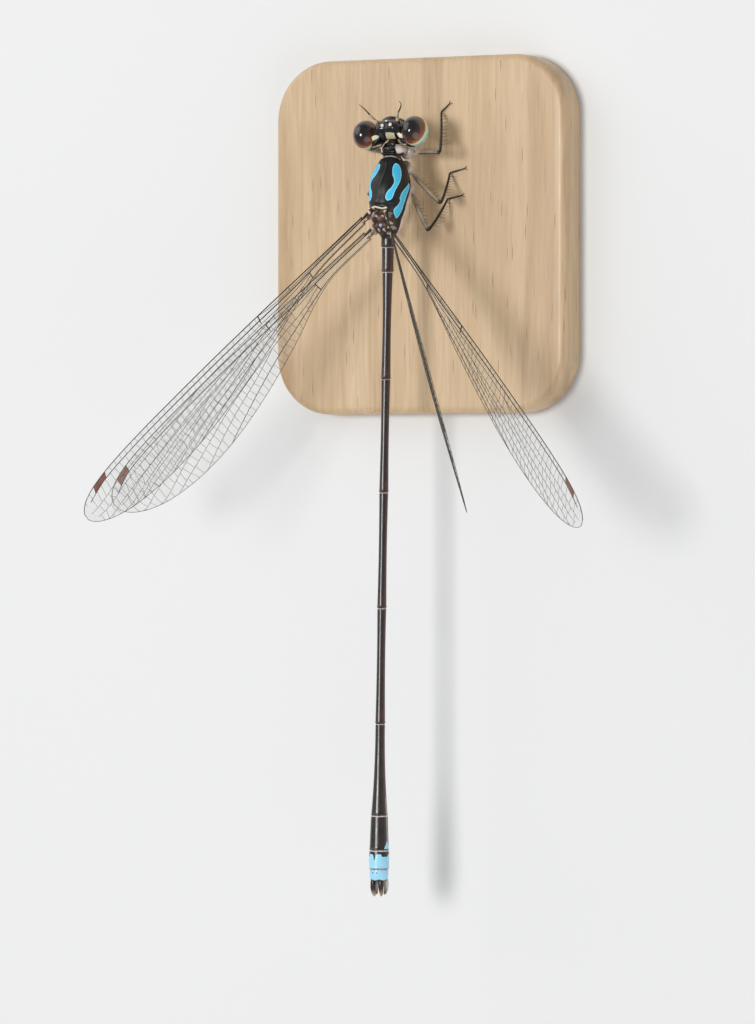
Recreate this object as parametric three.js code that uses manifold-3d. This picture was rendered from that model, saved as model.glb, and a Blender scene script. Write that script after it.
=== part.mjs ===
// A slender black and blue damselfly at life size, standing on a small flat display base.
// Millimetres, +Z up. The head points along -Y, the tail along +Y and the insect's right is -X.
// The origin is the middle of the base's underside.
import * as THREE from "three";
import { mergeVertices } from "three/addons/utils/BufferGeometryUtils.js";
import Module from "manifold-3d";

const wasm = await Module();
wasm.setup();

// Driving sizes. Stations along the body are measured from the middle of the thorax, towards the tail.
const gap = 0.3; // between each piece and the one that it grows from
const base = { width: 22, length: 24, height: 2.4, corner: 4, bevel: 0.35 };
const legThickness = 0.5;
const ankleHeight = -3.9; // of the ankles, below the body's axis
const soleDepth = 0.19; // from the middle of a foot down to its flat sole
const thoraxStation = -3; // where the middle of the thorax stands along the base
const bodyHeight = base.height + gap + soleDepth - ankleHeight;
const head = { station: -3.66, height: -0.35, yaw: 3 };
const eye = { across: 0.86, along: 1.0, tall: 1.1, out: 1.83, back: 0, height: -0.05 };
const wingThickness = 0.5;
const vein = { height: 0.11, halfWidth: 0.12 }; // of its ridge, on each face of the membrane
const spine = { length: 0.42, radius: 0.16, lean: 0.4 }; // out from a leg's side, leaning to its foot
const kneeStub = 0.95; // of the shin past the knee, in one piece with the thigh
const degrees = Math.PI / 180;

const colours = {
  black: 0x0c0c10,
  blue: 0x4fc8ee,
  tailBlue: 0xa6dcf2,
  cream: 0xe6e4c4,
  brown: 0x38231a,
  eye: 0x4a2414,
  membrane: 0x8f9a8c,
  leg: 0x3b382c,
  base: 0xcbb592,
};

function material(colour, roughness = 0.4) {
  return new THREE.MeshStandardMaterial({ color: colour, roughness, metalness: 0 });
}

// A value read along a list of [place, value, value, ...] rows, eased smoothly from one row to the next.
function along(rows, place) {
  const last = rows.length - 1;
  let low = 0;
  while (low < last - 1 && place > rows[low + 1][0]) low += 1;
  const start = rows[low];
  const end = rows[low + 1];
  const share = THREE.MathUtils.clamp((place - start[0]) / (end[0] - start[0]), 0, 1);
  const before = rows[Math.max(low - 1, 0)];
  const after = rows[Math.min(low + 2, last)];
  return start.slice(1).map((value, k) => {
    const column = k + 1;
    const span = end[0] - start[0];
    const slopeIn = (end[column] - before[column]) / Math.max(end[0] - before[0], 1e-6);
    const slopeOut = (after[column] - value) / Math.max(after[0] - start[0], 1e-6);
    const s2 = share * share;
    const s3 = s2 * share;
    return (
      (2 * s3 - 3 * s2 + 1) * value +
      (s3 - 2 * s2 + share) * span * slopeIn +
      (3 * s2 - 2 * s3) * end[column] +
      (s3 - s2) * span * slopeOut
    );
  });
}

// Evenly spaced numbers from start to end.
function spaced(start, end, count) {
  return Array.from({ length: count }, (_, k) => start + ((end - start) * k) / (count - 1));
}

function indexed(points, faces) {
  const geometry = new THREE.BufferGeometry();
  const position = new Float32Array(points.flatMap((p) => [p.x, p.y, p.z]));
  geometry.setAttribute("position", new THREE.BufferAttribute(position, 3));
  geometry.setIndex(faces);
  return outward(geometry);
}

// Turns a closed surface round if its faces point inwards.
function outward(geometry) {
  const p = geometry.getAttribute("position");
  const order = geometry.index.array;
  const [a, b, c] = [new THREE.Vector3(), new THREE.Vector3(), new THREE.Vector3()];
  let volume = 0;
  for (let k = 0; k < order.length; k += 3) {
    a.fromBufferAttribute(p, order[k]);
    b.fromBufferAttribute(p, order[k + 1]);
    c.fromBufferAttribute(p, order[k + 2]);
    volume += a.dot(b.cross(c));
  }
  if (volume < 0) {
    for (let k = 0; k < order.length; k += 3) [order[k], order[k + 1]] = [order[k + 1], order[k]];
  }
  return geometry;
}

// A closed skin over rings of points, with a fan of triangles over each end.
function loft(rings) {
  const count = rings[0].length;
  const points = rings.flat();
  const faces = [];
  for (let r = 0; r < rings.length - 1; r += 1) {
    for (let k = 0; k < count; k += 1) {
      const next = (k + 1) % count;
      const low = r * count;
      const high = low + count;
      faces.push(low + k, low + next, high + next, low + k, high + next, high + k);
    }
  }
  [0, rings.length - 1].forEach((r) => {
    const centre = new THREE.Vector3();
    rings[r].forEach((p) => centre.addScaledVector(p, 1 / count));
    const hub = points.push(centre) - 1;
    for (let k = 0; k < count; k += 1) {
      const here = r * count + k;
      const next = r * count + ((k + 1) % count);
      faces.push(...(r === 0 ? [hub, next, here] : [hub, here, next]));
    }
  });
  return indexed(points, faces);
}

// A ring across the body at a station: half its width, its top and its bottom, rounded or squarer.
function bodyRing(station, halfWidth, top, bottom, count, square = 1, side = 0, lift = 0) {
  const middle = (top + bottom) / 2;
  const half = (top - bottom) / 2;
  return Array.from({ length: count }, (_, k) => {
    const turn = (2 * Math.PI * (k + 0.5)) / count;
    const c = Math.cos(turn);
    const s = Math.sin(turn);
    const x = halfWidth * Math.sign(c) * Math.abs(c) ** square;
    const z = half * Math.sign(s) * Math.abs(s) ** square;
    return new THREE.Vector3(x + side, station, middle + z + lift);
  });
}

// A round limb along a list of points, with a radius at each and its section turned by a twist.
function limb(points, radii, sides = 8, twist = 0) {
  const rings = [];
  const across = new THREE.Vector3(0, 0, 1);
  points.forEach((p, k) => {
    const ahead = points[Math.min(k + 1, points.length - 1)];
    const behind = points[Math.max(k - 1, 0)];
    const way = ahead.clone().sub(behind).normalize();
    if (k === 0 && Math.abs(way.z) > 0.9) across.set(1, 0, 0);
    const u = across.clone().addScaledVector(way, -across.dot(way)).normalize();
    const v = way.clone().cross(u);
    across.copy(u);
    rings.push(
      Array.from({ length: sides }, (_, n) => {
        const turn = (2 * Math.PI * n) / sides + twist;
        return p
          .clone()
          .addScaledVector(u, radii[k] * Math.cos(turn))
          .addScaledVector(v, radii[k] * Math.sin(turn));
      }),
    );
  });
  return loft(rings);
}

function vec(x, y, z) {
  return new THREE.Vector3(x, y, z);
}

// Points along a straight or gently bowed line from one point to another.
function bowed(from, to, count, bow = vec(0, 0, 0)) {
  return spaced(0, 1, count).map((t) =>
    from.clone().lerp(to, t).addScaledVector(bow, 4 * t * (1 - t)),
  );
}

function ellipsoid(centre, a, b, c, columns = 16, rows = 10) {
  return new THREE.SphereGeometry(1, columns, rows).scale(a, b, c).translate(...centre);
}

function solidOf(geometry) {
  const bare = geometry.clone();
  bare.deleteAttribute("normal");
  bare.deleteAttribute("uv");
  const merged = mergeVertices(bare, 1e-4);
  return new wasm.Manifold(
    new wasm.Mesh({
      numProp: 3,
      vertProperties: new Float32Array(merged.getAttribute("position").array),
      triVerts: new Uint32Array(merged.index.array),
    }),
  );
}

// The largest closed surface of a solid, as a geometry.
function geometryOf(solid) {
  const pieces = solid.decompose();
  pieces.sort((p, q) => q.volume() - p.volume());
  const mesh = pieces[0].getMesh();
  const geometry = new THREE.BufferGeometry();
  geometry.setAttribute("position", new THREE.BufferAttribute(mesh.vertProperties, 3));
  geometry.setIndex(new THREE.BufferAttribute(mesh.triVerts, 1));
  return geometry;
}

function fused(first, ...others) {
  return geometryOf(others.reduce((sum, g) => sum.add(solidOf(g)), solidOf(first)));
}

function less(first, ...cutters) {
  return geometryOf(cutters.reduce((rest, g) => rest.subtract(solidOf(g)), solidOf(first)));
}

function piece(name, geometry, look, parent) {
  const shaded = geometry.index ? geometry.toNonIndexed() : geometry;
  shaded.computeVertexNormals();
  const mesh = new THREE.Mesh(shaded, look);
  mesh.name = name;
  parent.add(mesh);
  return mesh;
}

// The base: a plain rounded plate with softened edges.
function addBase(parent) {
  const { width, length, height, corner, bevel } = base;
  const [x, y] = [width / 2 - bevel, length / 2 - bevel];
  const outline = new THREE.Shape();
  const turns = [
    [x - corner, y - corner, 0],
    [-x + corner, y - corner, 90],
    [-x + corner, -y + corner, 180],
    [x - corner, -y + corner, 270],
  ];
  turns.forEach(([cx, cy, from]) => {
    outline.absarc(cx, cy, corner, from * degrees, (from + 90) * degrees, false);
  });
  const plate = new THREE.ExtrudeGeometry(outline, {
    depth: height - 2 * bevel,
    bevelEnabled: true,
    bevelThickness: bevel,
    bevelSize: bevel,
    bevelSegments: 1,
    curveSegments: 5,
  }).translate(0, 0, bevel);
  piece("stand_base", plate, material(colours.base, 0.6), parent);
}

// The head capsule runs across between the eyes. Its rows are [side, front, back, top, bottom].
const capsuleRows = [
  [0, -0.92, 0.4, 0.74, -0.95],
  [0.55, -0.86, 0.46, 0.8, -0.95],
  [0.9, -0.6, 0.78, 0.66, -0.9],
  [1.25, -0.1, 1.0, 0.36, -0.72],
  [1.55, 0.35, 1.06, 0.12, -0.5],
];

// The capsule, or the same shape grown all round by a margin.
function capsule(margin = 0) {
  const reach = 1.55;
  const rings = spaced(-reach, reach, 13).map((side) => {
    const [front, back, top, bottom] = along(capsuleRows, Math.abs(side));
    const half = (back - front) / 2 + margin;
    const ring = bodyRing(0, half, top + margin, bottom - margin, 16, 0.8);
    const spread = (reach + margin) / reach;
    return ring.map((p) => vec(side * spread, (front + back) / 2 + p.x, p.z));
  });
  return loft(rings);
}

function addHead(parent) {
  const group = new THREE.Group();
  group.position.set(0, head.station, head.height);
  group.rotation.z = head.yaw * degrees;
  parent.add(group);

  const skull = fused(
    capsule(),
    ellipsoid([0, -0.74, -0.12], 0.7, 0.42, 0.34, 14, 8), // clypeus
    ellipsoid([0, -0.8, -0.64], 0.62, 0.38, 0.3, 14, 8), // labrum
    ellipsoid([0.52, -0.62, -0.7], 0.26, 0.34, 0.36, 10, 6), // left mandible
    ellipsoid([-0.52, -0.62, -0.7], 0.26, 0.34, 0.36, 10, 6), // right mandible
    ellipsoid([0, -0.25, -1.0], 0.55, 0.6, 0.28, 14, 8), // labium
    ellipsoid([0, -0.52, 0.66], 0.15, 0.15, 0.15, 8, 6), // middle ocellus
    ellipsoid([0.28, -0.24, 0.72], 0.14, 0.14, 0.14, 8, 6), // left ocellus
    ellipsoid([-0.28, -0.24, 0.72], 0.14, 0.14, 0.14, 8, 6), // right ocellus
    ellipsoid([0.55, -0.66, 0.38], 0.25, 0.25, 0.22, 10, 6), // left feeler's socket
    ellipsoid([-0.55, -0.66, 0.38], 0.25, 0.25, 0.22, 10, 6), // right feeler's socket
  );
  piece("head", skull, material(colours.black), group);

  [
    ["left", 1],
    ["right", -1],
  ].forEach(([word, side]) => {
    const ball = ellipsoid(
      [side * eye.out, eye.back, eye.height],
      eye.across,
      eye.along,
      eye.tall,
      20,
      13,
    );
    piece(`eye_${word}`, less(ball, capsule(gap)), material(colours.eye, 0.15), group);

    // A feeler: two thick joints and a bristle, out and forwards from its socket.
    const root = vec(side * 0.72, -1.12, 0.68);
    const joint = vec(side * 0.84, -1.5, 0.88);
    const tip = vec(side * 1.5, -2.1, 1.5);
    const stem = [...bowed(root, joint, 3), ...bowed(joint, tip, 6, vec(0, -0.1, 0.08)).slice(1)];
    const radii = [0.25, 0.24, 0.2, 0.15, 0.13, 0.11, 0.09, 0.07];
    piece(`antenna_${word}`, limb(stem, radii, 6), material(colours.brown), group);
  });
}

// Rows are [station, half width, top, bottom].
const prothoraxRows = [
  [-2.82, 0.4, -0.42, -0.98],
  [-2.76, 0.64, -0.26, -1.25],
  [-2.68, 0.82, -0.22, -1.45],
  [-2.54, 0.9, -0.26, -1.52],
  [-2.42, 0.86, -0.16, -1.5],
  [-2.32, 0.7, -0.2, -1.35],
];

const thoraxRows = [
  [-2.02, 0.66, -0.14, -1.15],
  [-1.85, 0.9, 0.14, -1.42],
  [-1.3, 1.13, 0.58, -1.64],
  [-0.8, 1.24, 0.96, -1.75],
  [-0.3, 1.28, 1.2, -1.8],
  [0.5, 1.26, 1.32, -1.74],
  [1.2, 1.16, 1.36, -1.52],
  [1.5, 1.1, 1.08, -1.42],
  [2.2, 0.94, 0.96, -1.12],
  [2.75, 0.72, 0.78, -0.8],
  [3.05, 0.46, 0.5, -0.45],
];

// A skin over rows of sections, or the same shape grown all round by a margin.
function bodyLoft(rows, rings, sides, square, margin = 0) {
  const first = rows[0][0];
  const last = rows[rows.length - 1][0];
  const middle = (first + last) / 2;
  const spread = 1 + (2 * margin) / (last - first);
  return loft(
    spaced(first, last, rings).map((station) => {
      const [half, top, bottom] = along(rows, station);
      const place = middle + (station - middle) * spread;
      return bodyRing(place, half + margin, top + margin, bottom - margin, sides, square);
    }),
  );
}

// The small hard plates at the wing roots, between the thorax's crest and the tail. Rows are
// [side, station, height, half width, half length, half height], each on both sides.
const rootPlates = [
  [0.36, 1.42, 1.2, 0.34, 0.14, 0.14],
  [0.3, 2.0, 1.0, 0.26, 0.3, 0.2],
  [0.62, 1.82, 0.86, 0.26, 0.26, 0.2],
  [0.26, 2.75, 0.76, 0.22, 0.28, 0.2],
  [0.56, 2.62, 0.6, 0.22, 0.26, 0.18],
];

const thoraxShape = [thoraxRows, 15, 18, 0.88];
const prothoraxShape = [prothoraxRows, 8, 14, 0.9];

// A short boss on the thorax for a wing to meet, in the line and section of the wing's own stalk.
function wingBoss(wing) {
  const { out, back, up } = wingFrame(wing);
  const rings = [-boss.depth, 0].map((reach) =>
    Array.from({ length: 10 }, (_, k) => {
      const turn = (2 * Math.PI * k) / 10;
      return wing.root
        .clone()
        .addScaledVector(out, reach)
        .addScaledVector(back, boss.half * Math.cos(turn))
        .addScaledVector(up, boss.thickness * Math.sin(turn));
    }),
  );
  return loft(rings);
}

function addThorax(parent) {
  piece("prothorax", bodyLoft(...prothoraxShape), material(colours.black), parent);
  const ridge = limb(
    spaced(-1.7, 1.25, 8).map((s) => vec(0, s, along(thoraxRows, s)[1] - 0.04)),
    [0.06, 0.1, 0.1, 0.1, 0.1, 0.1, 0.1, 0.06],
    6,
  );
  const plates = rootPlates.flatMap(([side, station, height, a, b, c]) =>
    [1, -1].map((way) => ellipsoid([way * side, station, height], a, b, c, 8, 6)),
  );
  const middle = ellipsoid([0, 2.3, 0.94], 0.2, 0.5, 0.2, 10, 8);
  const bosses = Object.values(wings).map(wingBoss);
  const shell = fused(bodyLoft(...thoraxShape), ridge, middle, ...plates, ...bosses);
  piece("thorax", shell, material(colours.black), parent);
}

// Tail segments: [name, first station, last station, half width at its start, middle and end].
const tailSegments = [
  ["abdomen_1", 3.35, 3.95, 0.44, 0.45, 0.43],
  ["abdomen_2", 3.95, 5.6, 0.41, 0.39, 0.4],
  ["abdomen_3", 5.6, 12.75, 0.35, 0.28, 0.32],
  ["abdomen_4", 12.75, 20.3, 0.3, 0.27, 0.31],
  ["abdomen_5", 20.3, 28.0, 0.3, 0.27, 0.31],
  ["abdomen_6", 28.0, 35.7, 0.3, 0.28, 0.33],
  ["abdomen_7", 35.7, 41.8, 0.32, 0.37, 0.55],
  ["abdomen_8", 41.8, 44.1, 0.56, 0.6, 0.64],
  ["abdomen_9", 44.1, 45.35, 0.65, 0.67, 0.66],
  ["abdomen_10", 45.35, 46.1, 0.62, 0.62, 0.58],
];
const tailStart = 3.35;
const tailEnd = 46.1;
const tailRise = 0.9; // of the tail's end over its root
const tailSwing = 0.2; // of the tail's end towards the insect's left

// Where the tail's middle line runs: [side, height].
function tailLine(station) {
  const share = THREE.MathUtils.clamp((station - tailStart) / (tailEnd - tailStart), 0, 1);
  return [tailSwing * share, tailRise * Math.sin((share * Math.PI) / 2) ** 1.3];
}

function addTail(parent) {
  tailSegments.forEach(([name, from, to, start, middle, end]) => {
    const rows = [
      [from + gap / 2, start],
      [(from + to) / 2, middle],
      [to - gap / 2, end],
    ];
    const count = to - from > 4 ? 8 : 5;
    const rings = spaced(from + gap / 2, to - gap / 2, count).map((station) => {
      const [half] = along(rows, station);
      const [side, height] = tailLine(station);
      return bodyRing(station, half, half, -half, 12, 1, side, height);
    });
    piece(name, loft(rings), material(colours.black), parent);
  });

  // Two pairs of claspers, the upper pair curving in and down, the lower pair up.
  const [side, height] = tailLine(tailEnd);
  const root = tailEnd + 0.7 * gap;
  [
    ["left", 1],
    ["right", -1],
  ].forEach(([word, way]) => {
    const upper = bowed(
      vec(side + way * 0.38, root, height + 0.3),
      vec(side + way * 0.3, root + 0.95, height + 0.16),
      6,
      vec(way * 0.08, 0, 0.04),
    );
    piece(
      `cercus_${word}`,
      limb(upper, [0.2, 0.22, 0.22, 0.21, 0.19, 0.1], 8),
      material(colours.black),
      parent,
    );
    const lower = bowed(
      vec(side + way * 0.34, root, height - 0.34),
      vec(side + way * 0.3, root + 0.72, height - 0.36),
      5,
      vec(way * 0.04, 0, -0.06),
    );
    piece(
      `paraproct_${word}`,
      limb(lower, [0.2, 0.22, 0.2, 0.17, 0.1], 8),
      material(colours.brown),
      parent,
    );
  });
}

// Each leg's places, in body terms: its hip, its knee, its ankle and the tip of its foot. The coxa
// runs up from the hip into the thorax. The left legs are drawn in under the body, as in the photo.
const legs = {
  front_right: {
    hip: vec(-0.7, -2.45, -1.95),
    knee: vec(-3.24, -2.35, -1.3),
    ankle: vec(-1.82, -5.25, ankleHeight),
    toe: vec(-2.35, -5.75, ankleHeight),
  },
  middle_right: {
    hip: vec(-0.5, -1.25, -2.1),
    knee: vec(-3.14, 1.04, -1.6),
    ankle: vec(-2.47, -1.14, ankleHeight),
    toe: vec(-3.5, -1.4, ankleHeight),
  },
  hind_right: {
    hip: vec(-0.52, 0, -2.25),
    knee: vec(-2.19, 2.85, -1.6),
    ankle: vec(-2.3, 0.6, ankleHeight),
    toe: vec(-3.3, 0.4, ankleHeight),
  },
  front_left: {
    hip: vec(0.7, -2.45, -1.95),
    knee: vec(2.5, -2.75, -1.85),
    ankle: vec(1.9, -4.3, ankleHeight),
    toe: vec(2.55, -4.75, ankleHeight),
  },
  middle_left: {
    hip: vec(0.5, -1.25, -2.1),
    knee: vec(2.35, 0.35, -1.6),
    ankle: vec(2.4, -0.9, ankleHeight),
    toe: vec(3.2, -1.25, ankleHeight),
  },
  hind_left: {
    hip: vec(0.54, 0.05, -2.27),
    knee: vec(1.62, 3.05, -1.95),
    ankle: vec(2.2, 0.9, ankleHeight),
    toe: vec(3.0, 0.65, ankleHeight),
  },
};
const coxaRise = vec(0, 0.1, 0.75); // from a hip up into the body
const thighSpines = [0.52, 0.62, 0.72]; // places of the spines, as shares of the thigh
const shinSpines = [0.54, 0.66, 0.78]; // and of the shin

// Tapered three-sided spines in two rows along a straight stretch of leg, one row on each side.
function spineRows(from, to, shares) {
  const way = to.clone().sub(from).normalize();
  const sideways = vec(way.y, -way.x, 0).normalize();
  const spines = [];
  shares.forEach((t, k) => {
    [1, -1].forEach((side) => {
      const slip = side * 0.03 + 0.02 * Math.sin(5 * k);
      const root = from.clone().lerp(to, t + slip).addScaledVector(sideways, side * 0.06);
      const size = 1 - 0.25 * t;
      const tip = root
        .clone()
        .addScaledVector(sideways, side * (legThickness / 2 + spine.length * size))
        .addScaledVector(way, spine.lean * size);
      spines.push(limb([root, root.clone().lerp(tip, 0.5), tip], [spine.radius, 0.11, 0.03], 3, 0.4));
    });
  });
  return spines;
}

// Two claws at the end of a foot, parted and curved.
function claws(ankle, toe) {
  const way = toe.clone().sub(ankle).normalize();
  const aside = vec(-way.y, way.x, 0);
  return [1, -1].map((side) => {
    const root = toe.clone().addScaledVector(way, -0.15).addScaledVector(aside, side * 0.03);
    const bend = toe.clone().addScaledVector(way, 0.14).addScaledVector(aside, side * 0.17);
    const tip = toe.clone().addScaledVector(way, 0.36).addScaledVector(aside, side * 0.2);
    tip.z -= 0.1;
    return limb([root, bend, tip], [0.13, 0.11, 0.04], 4);
  });
}

// Presses what lies under the soles' level flat, so that a foot ends in a small flat.
function flattened(geometry) {
  const p = geometry.getAttribute("position");
  for (let k = 0; k < p.count; k += 1) p.setZ(k, Math.max(p.getZ(k), ankleHeight - soleDepth));
  return geometry;
}

function addLegs(parent) {
  const half = legThickness / 2;
  const keepOff = [bodyLoft(...thoraxShape, gap), bodyLoft(...prothoraxShape, gap)];
  Object.entries(legs).forEach(([name, { hip, knee, ankle, toe }]) => {
    const thigh = knee.clone().sub(hip).normalize();
    const shin = ankle.clone().sub(knee).normalize();
    const beforeKnee = knee.clone().addScaledVector(thigh, -kneeStub);
    const afterKnee = knee.clone().addScaledVector(shin, kneeStub);
    const coxa = hip.clone().add(coxaRise);
    const stem = [coxa, coxa.clone().lerp(hip, 0.45), hip, ...bowed(hip, beforeKnee, 4).slice(1)];
    const upper = limb([...stem, knee, afterKnee], [0.3, 0.32, 0.28, 0.27, 0.26, half, half, half]);
    const femur = fused(less(upper, ...keepOff), ...spineRows(hip, knee, thighSpines));
    piece(`leg_${name}_upper`, femur, material(colours.leg), parent);

    const shinStart = afterKnee.clone().addScaledVector(shin, gap);
    const foot = [...bowed(shinStart, ankle, 3), ...bowed(ankle, toe, 4).slice(1)];
    const shinAndFoot = limb(foot, [half, half, half, half, half, 0.2]);
    const tibia = fused(
      flattened(shinAndFoot),
      ...spineRows(knee, ankle, shinSpines),
      ...claws(ankle, toe),
    );
    piece(`leg_${name}_lower`, tibia, material(colours.leg), parent);
  });
}

// A wing's outline along its length, as shares of the wing: [share, chord, leading edge's set-back].
const wingRows = [
  [0, 0.7, 0],
  [0.14, 0.8, -0.04],
  [0.22, 1.3, -0.08],
  [0.35, 2.6, -0.14],
  [0.5, 3.8, -0.16],
  [0.65, 4.55, -0.1],
  [0.78, 4.65, 0.02],
  [0.88, 4.15, 0.25],
  [0.94, 3.3, 0.58],
  [0.975, 2.3, 1.0],
  [1, 0.75, 1.75],
];
const stalkHalf = 0.35; // from the wing's own line to the leading edge of its stalk
const boss = { depth: 1.1, half: 0.4, thickness: 0.32 }; // of the thorax, behind a wing's root

// The main veins behind the leading edge: where each runs, as rows of [share of the wing's length, share
// of its chord], and the stretch over which its ridge stands up.
const veinPaths = {
  radius: { rise: [0, 0.96], rows: [[0, 0.3], [0.2, 0.25], [0.36, 0.14], [0.6, 0.09], [0.9, 0.11], [1, 0.3]] },
  secondRadial: { rise: [0.2, 0.97], rows: [[0, 0.46], [0.2, 0.4], [0.36, 0.24], [0.6, 0.2], [0.88, 0.33], [1, 0.5]] },
  thirdRadial: { rise: [0.28, 0.9], rows: [[0, 0.6], [0.2, 0.52], [0.36, 0.36], [0.6, 0.38], [0.9, 0.7], [1, 0.74]] },
  media: { rise: [0.2, 0.86], rows: [[0, 0.73], [0.2, 0.66], [0.36, 0.52], [0.6, 0.6], [0.86, 0.92], [1, 0.9]] },
  cubitus: { rise: [0.1, 0.64], rows: [[0, 0.87], [0.2, 0.83], [0.36, 0.75], [0.5, 0.82], [0.66, 0.95], [1, 0.96]] },
};
const wingMark = { from: 0.9, to: 0.945, step: 0.007, height: 0.09 }; // the dark cell near the tip
// Each wing: length, root in body terms, sweep back from straight out of the tail line, lift and roll.
const wings = {
  fore_left: { side: 1, length: 27.1, root: vec(0.96, 2, 1.22), sweep: 46.4, lift: 43, roll: 34 },
  fore_right: { side: -1, length: 27.1, root: vec(-0.66, 2, 1.3), sweep: 48.9, lift: 49.5, roll: 21 },
  hind_left: { side: 1, length: 25.4, root: vec(0.9, 3, 0.7), sweep: 47.9, lift: 12.5, roll: 34 },
  hind_right: { side: -1, length: 25.4, root: vec(-0.6, 3, 0.7), sweep: 45, lift: 18.5, roll: 26 },
};

// The wing's own directions: out along it, back across it, and up off it.
function wingFrame({ side, sweep, lift, roll }) {
  const [s, e, r] = [sweep * degrees, lift * degrees, roll * degrees];
  const out = vec(side * Math.sin(s) * Math.cos(e), Math.cos(s), Math.sin(s) * Math.sin(e));
  const flat = vec(-side * Math.cos(s) * Math.cos(e), Math.sin(s), -Math.cos(s) * Math.sin(e));
  const above = vec(-side * Math.sin(e), 0, Math.cos(e));
  const back = flat.clone().multiplyScalar(Math.cos(r)).addScaledVector(above, -Math.sin(r));
  const up = above.clone().multiplyScalar(Math.cos(r)).addScaledVector(flat, Math.sin(r));
  return { out, back, up };
}

// A closed plate over a grid of points, alike on both faces. heights[i][j] is half the thickness there.
function plate(grid, heights, up) {
  const rows = grid.length;
  const columns = grid[0].length;
  const points = [];
  [1, -1].forEach((face) => {
    grid.forEach((line, i) => {
      line.forEach((p, j) => points.push(p.clone().addScaledVector(up, face * heights[i][j])));
    });
  });
  const at = (face, i, j) => face * rows * columns + i * columns + j;
  const faces = [];
  const quad = (a, b, c, d) => faces.push(a, b, c, a, c, d);
  for (let i = 0; i < rows - 1; i += 1) {
    for (let j = 0; j < columns - 1; j += 1) {
      quad(at(0, i, j), at(0, i + 1, j), at(0, i + 1, j + 1), at(0, i, j + 1));
      const [a, b] = [at(1, i, j), at(1, i + 1, j)];
      const [c, d] = [at(1, i + 1, j + 1), at(1, i, j + 1)];
      faces.push(a, c, b, a, d, c);
    }
    quad(at(0, i, 0), at(1, i, 0), at(1, i + 1, 0), at(0, i + 1, 0));
    const last = columns - 1;
    quad(at(0, i + 1, last), at(1, i + 1, last), at(1, i, last), at(0, i, last));
  }
  for (let j = 0; j < columns - 1; j += 1) {
    quad(at(0, 0, j + 1), at(1, 0, j + 1), at(1, 0, j), at(0, 0, j));
    const last = rows - 1;
    quad(at(0, last, j), at(1, last, j), at(1, last, j + 1), at(0, last, j + 1));
  }
  return indexed(points, faces);
}

// The rise of the membrane's middle over its edges.
function camber(share, across) {
  return 0.22 * Math.sin(Math.PI * share) * 4 * across * (1 - across);
}

// How far a vein's ridge stands up at a share of the wing's length.
function veinRise([from, to], share) {
  const fade = 0.05;
  const up = THREE.MathUtils.smoothstep(share, from - 0.001, from + fade);
  return from === 0 ? 1 - THREE.MathUtils.smoothstep(share, to, to + fade)
    : up * (1 - THREE.MathUtils.smoothstep(share, to, to + fade));
}

// One row of points across the wing: [place from the leading edge, height of the ridge there] for each.
function acrossWing(share, chord) {
  const crests = Object.values(veinPaths).map(({ rise, rows }) => ({
    place: along(rows, share)[0] * chord,
    height: vein.height * veinRise(rise, share),
  }));
  const inMark = share > wingMark.from && share < wingMark.to;
  const lift = inMark ? wingMark.height : 0;
  const edge = Math.min(vein.halfWidth, 0.35 * crests[0].place);
  const line = [[0, vein.height * 0.5], [edge, lift]];
  crests.forEach(({ place, height }, k) => {
    const before = k === 0 ? edge : crests[k - 1].place;
    const after = k === crests.length - 1 ? chord : crests[k + 1].place;
    const foot = Math.min(vein.halfWidth, 0.35 * (place - before), 0.35 * (after - place));
    line.push([place - foot, k === 0 ? lift : 0], [place, height], [place + foot, 0]);
  });
  line.push([chord, 0]);
  return line;
}

const wingShares = [
  ...[0, 0.1, 0.17, 0.24, 0.32, 0.4, 0.49, 0.58, 0.67, 0.76, 0.84],
  wingMark.from - wingMark.step,
  wingMark.from + wingMark.step,
  wingMark.to - wingMark.step,
  wingMark.to + wingMark.step,
  ...[0.98, 1],
];

function addWings(parent) {
  Object.entries(wings).forEach(([name, wing]) => {
    const { out, back, up } = wingFrame(wing);
    const heights = [];
    const grid = wingShares.map((share) => {
      const [chord, setBack] = along(wingRows, share);
      const line = acrossWing(share, chord);
      heights.push(line.map(([, height]) => wingThickness / 2 + height));
      return line.map(([place]) =>
        wing.root
          .clone()
          .addScaledVector(out, gap + share * wing.length)
          .addScaledVector(back, setBack + place - stalkHalf)
          .addScaledVector(up, camber(share, place / chord)),
      );
    });
    piece(`wing_${name}`, plate(grid, heights, up), material(colours.membrane, 0.25), parent);
  });
}

const damselfly = new THREE.Group();
addBase(damselfly);
const body = new THREE.Group();
body.position.set(0, thoraxStation, bodyHeight);
damselfly.add(body);
addHead(body);
addThorax(body);
addTail(body);
addLegs(body);
addWings(body);

export default damselfly;
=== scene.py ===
import math
import bpy
import numpy as np
from mathutils import Matrix, Vector


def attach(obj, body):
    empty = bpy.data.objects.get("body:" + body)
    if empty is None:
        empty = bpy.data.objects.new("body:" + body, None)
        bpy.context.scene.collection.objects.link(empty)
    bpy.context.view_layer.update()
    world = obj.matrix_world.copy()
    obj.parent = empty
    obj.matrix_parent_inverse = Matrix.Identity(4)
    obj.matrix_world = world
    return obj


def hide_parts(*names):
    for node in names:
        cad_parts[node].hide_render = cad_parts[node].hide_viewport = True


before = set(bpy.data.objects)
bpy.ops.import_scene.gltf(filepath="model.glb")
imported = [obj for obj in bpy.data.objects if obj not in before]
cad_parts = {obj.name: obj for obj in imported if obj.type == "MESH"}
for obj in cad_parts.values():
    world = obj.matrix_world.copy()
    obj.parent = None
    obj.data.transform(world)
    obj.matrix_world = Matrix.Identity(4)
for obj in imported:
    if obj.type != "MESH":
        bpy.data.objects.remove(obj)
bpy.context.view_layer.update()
scatter = np.random.default_rng(12)
print("frame loaded")

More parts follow.
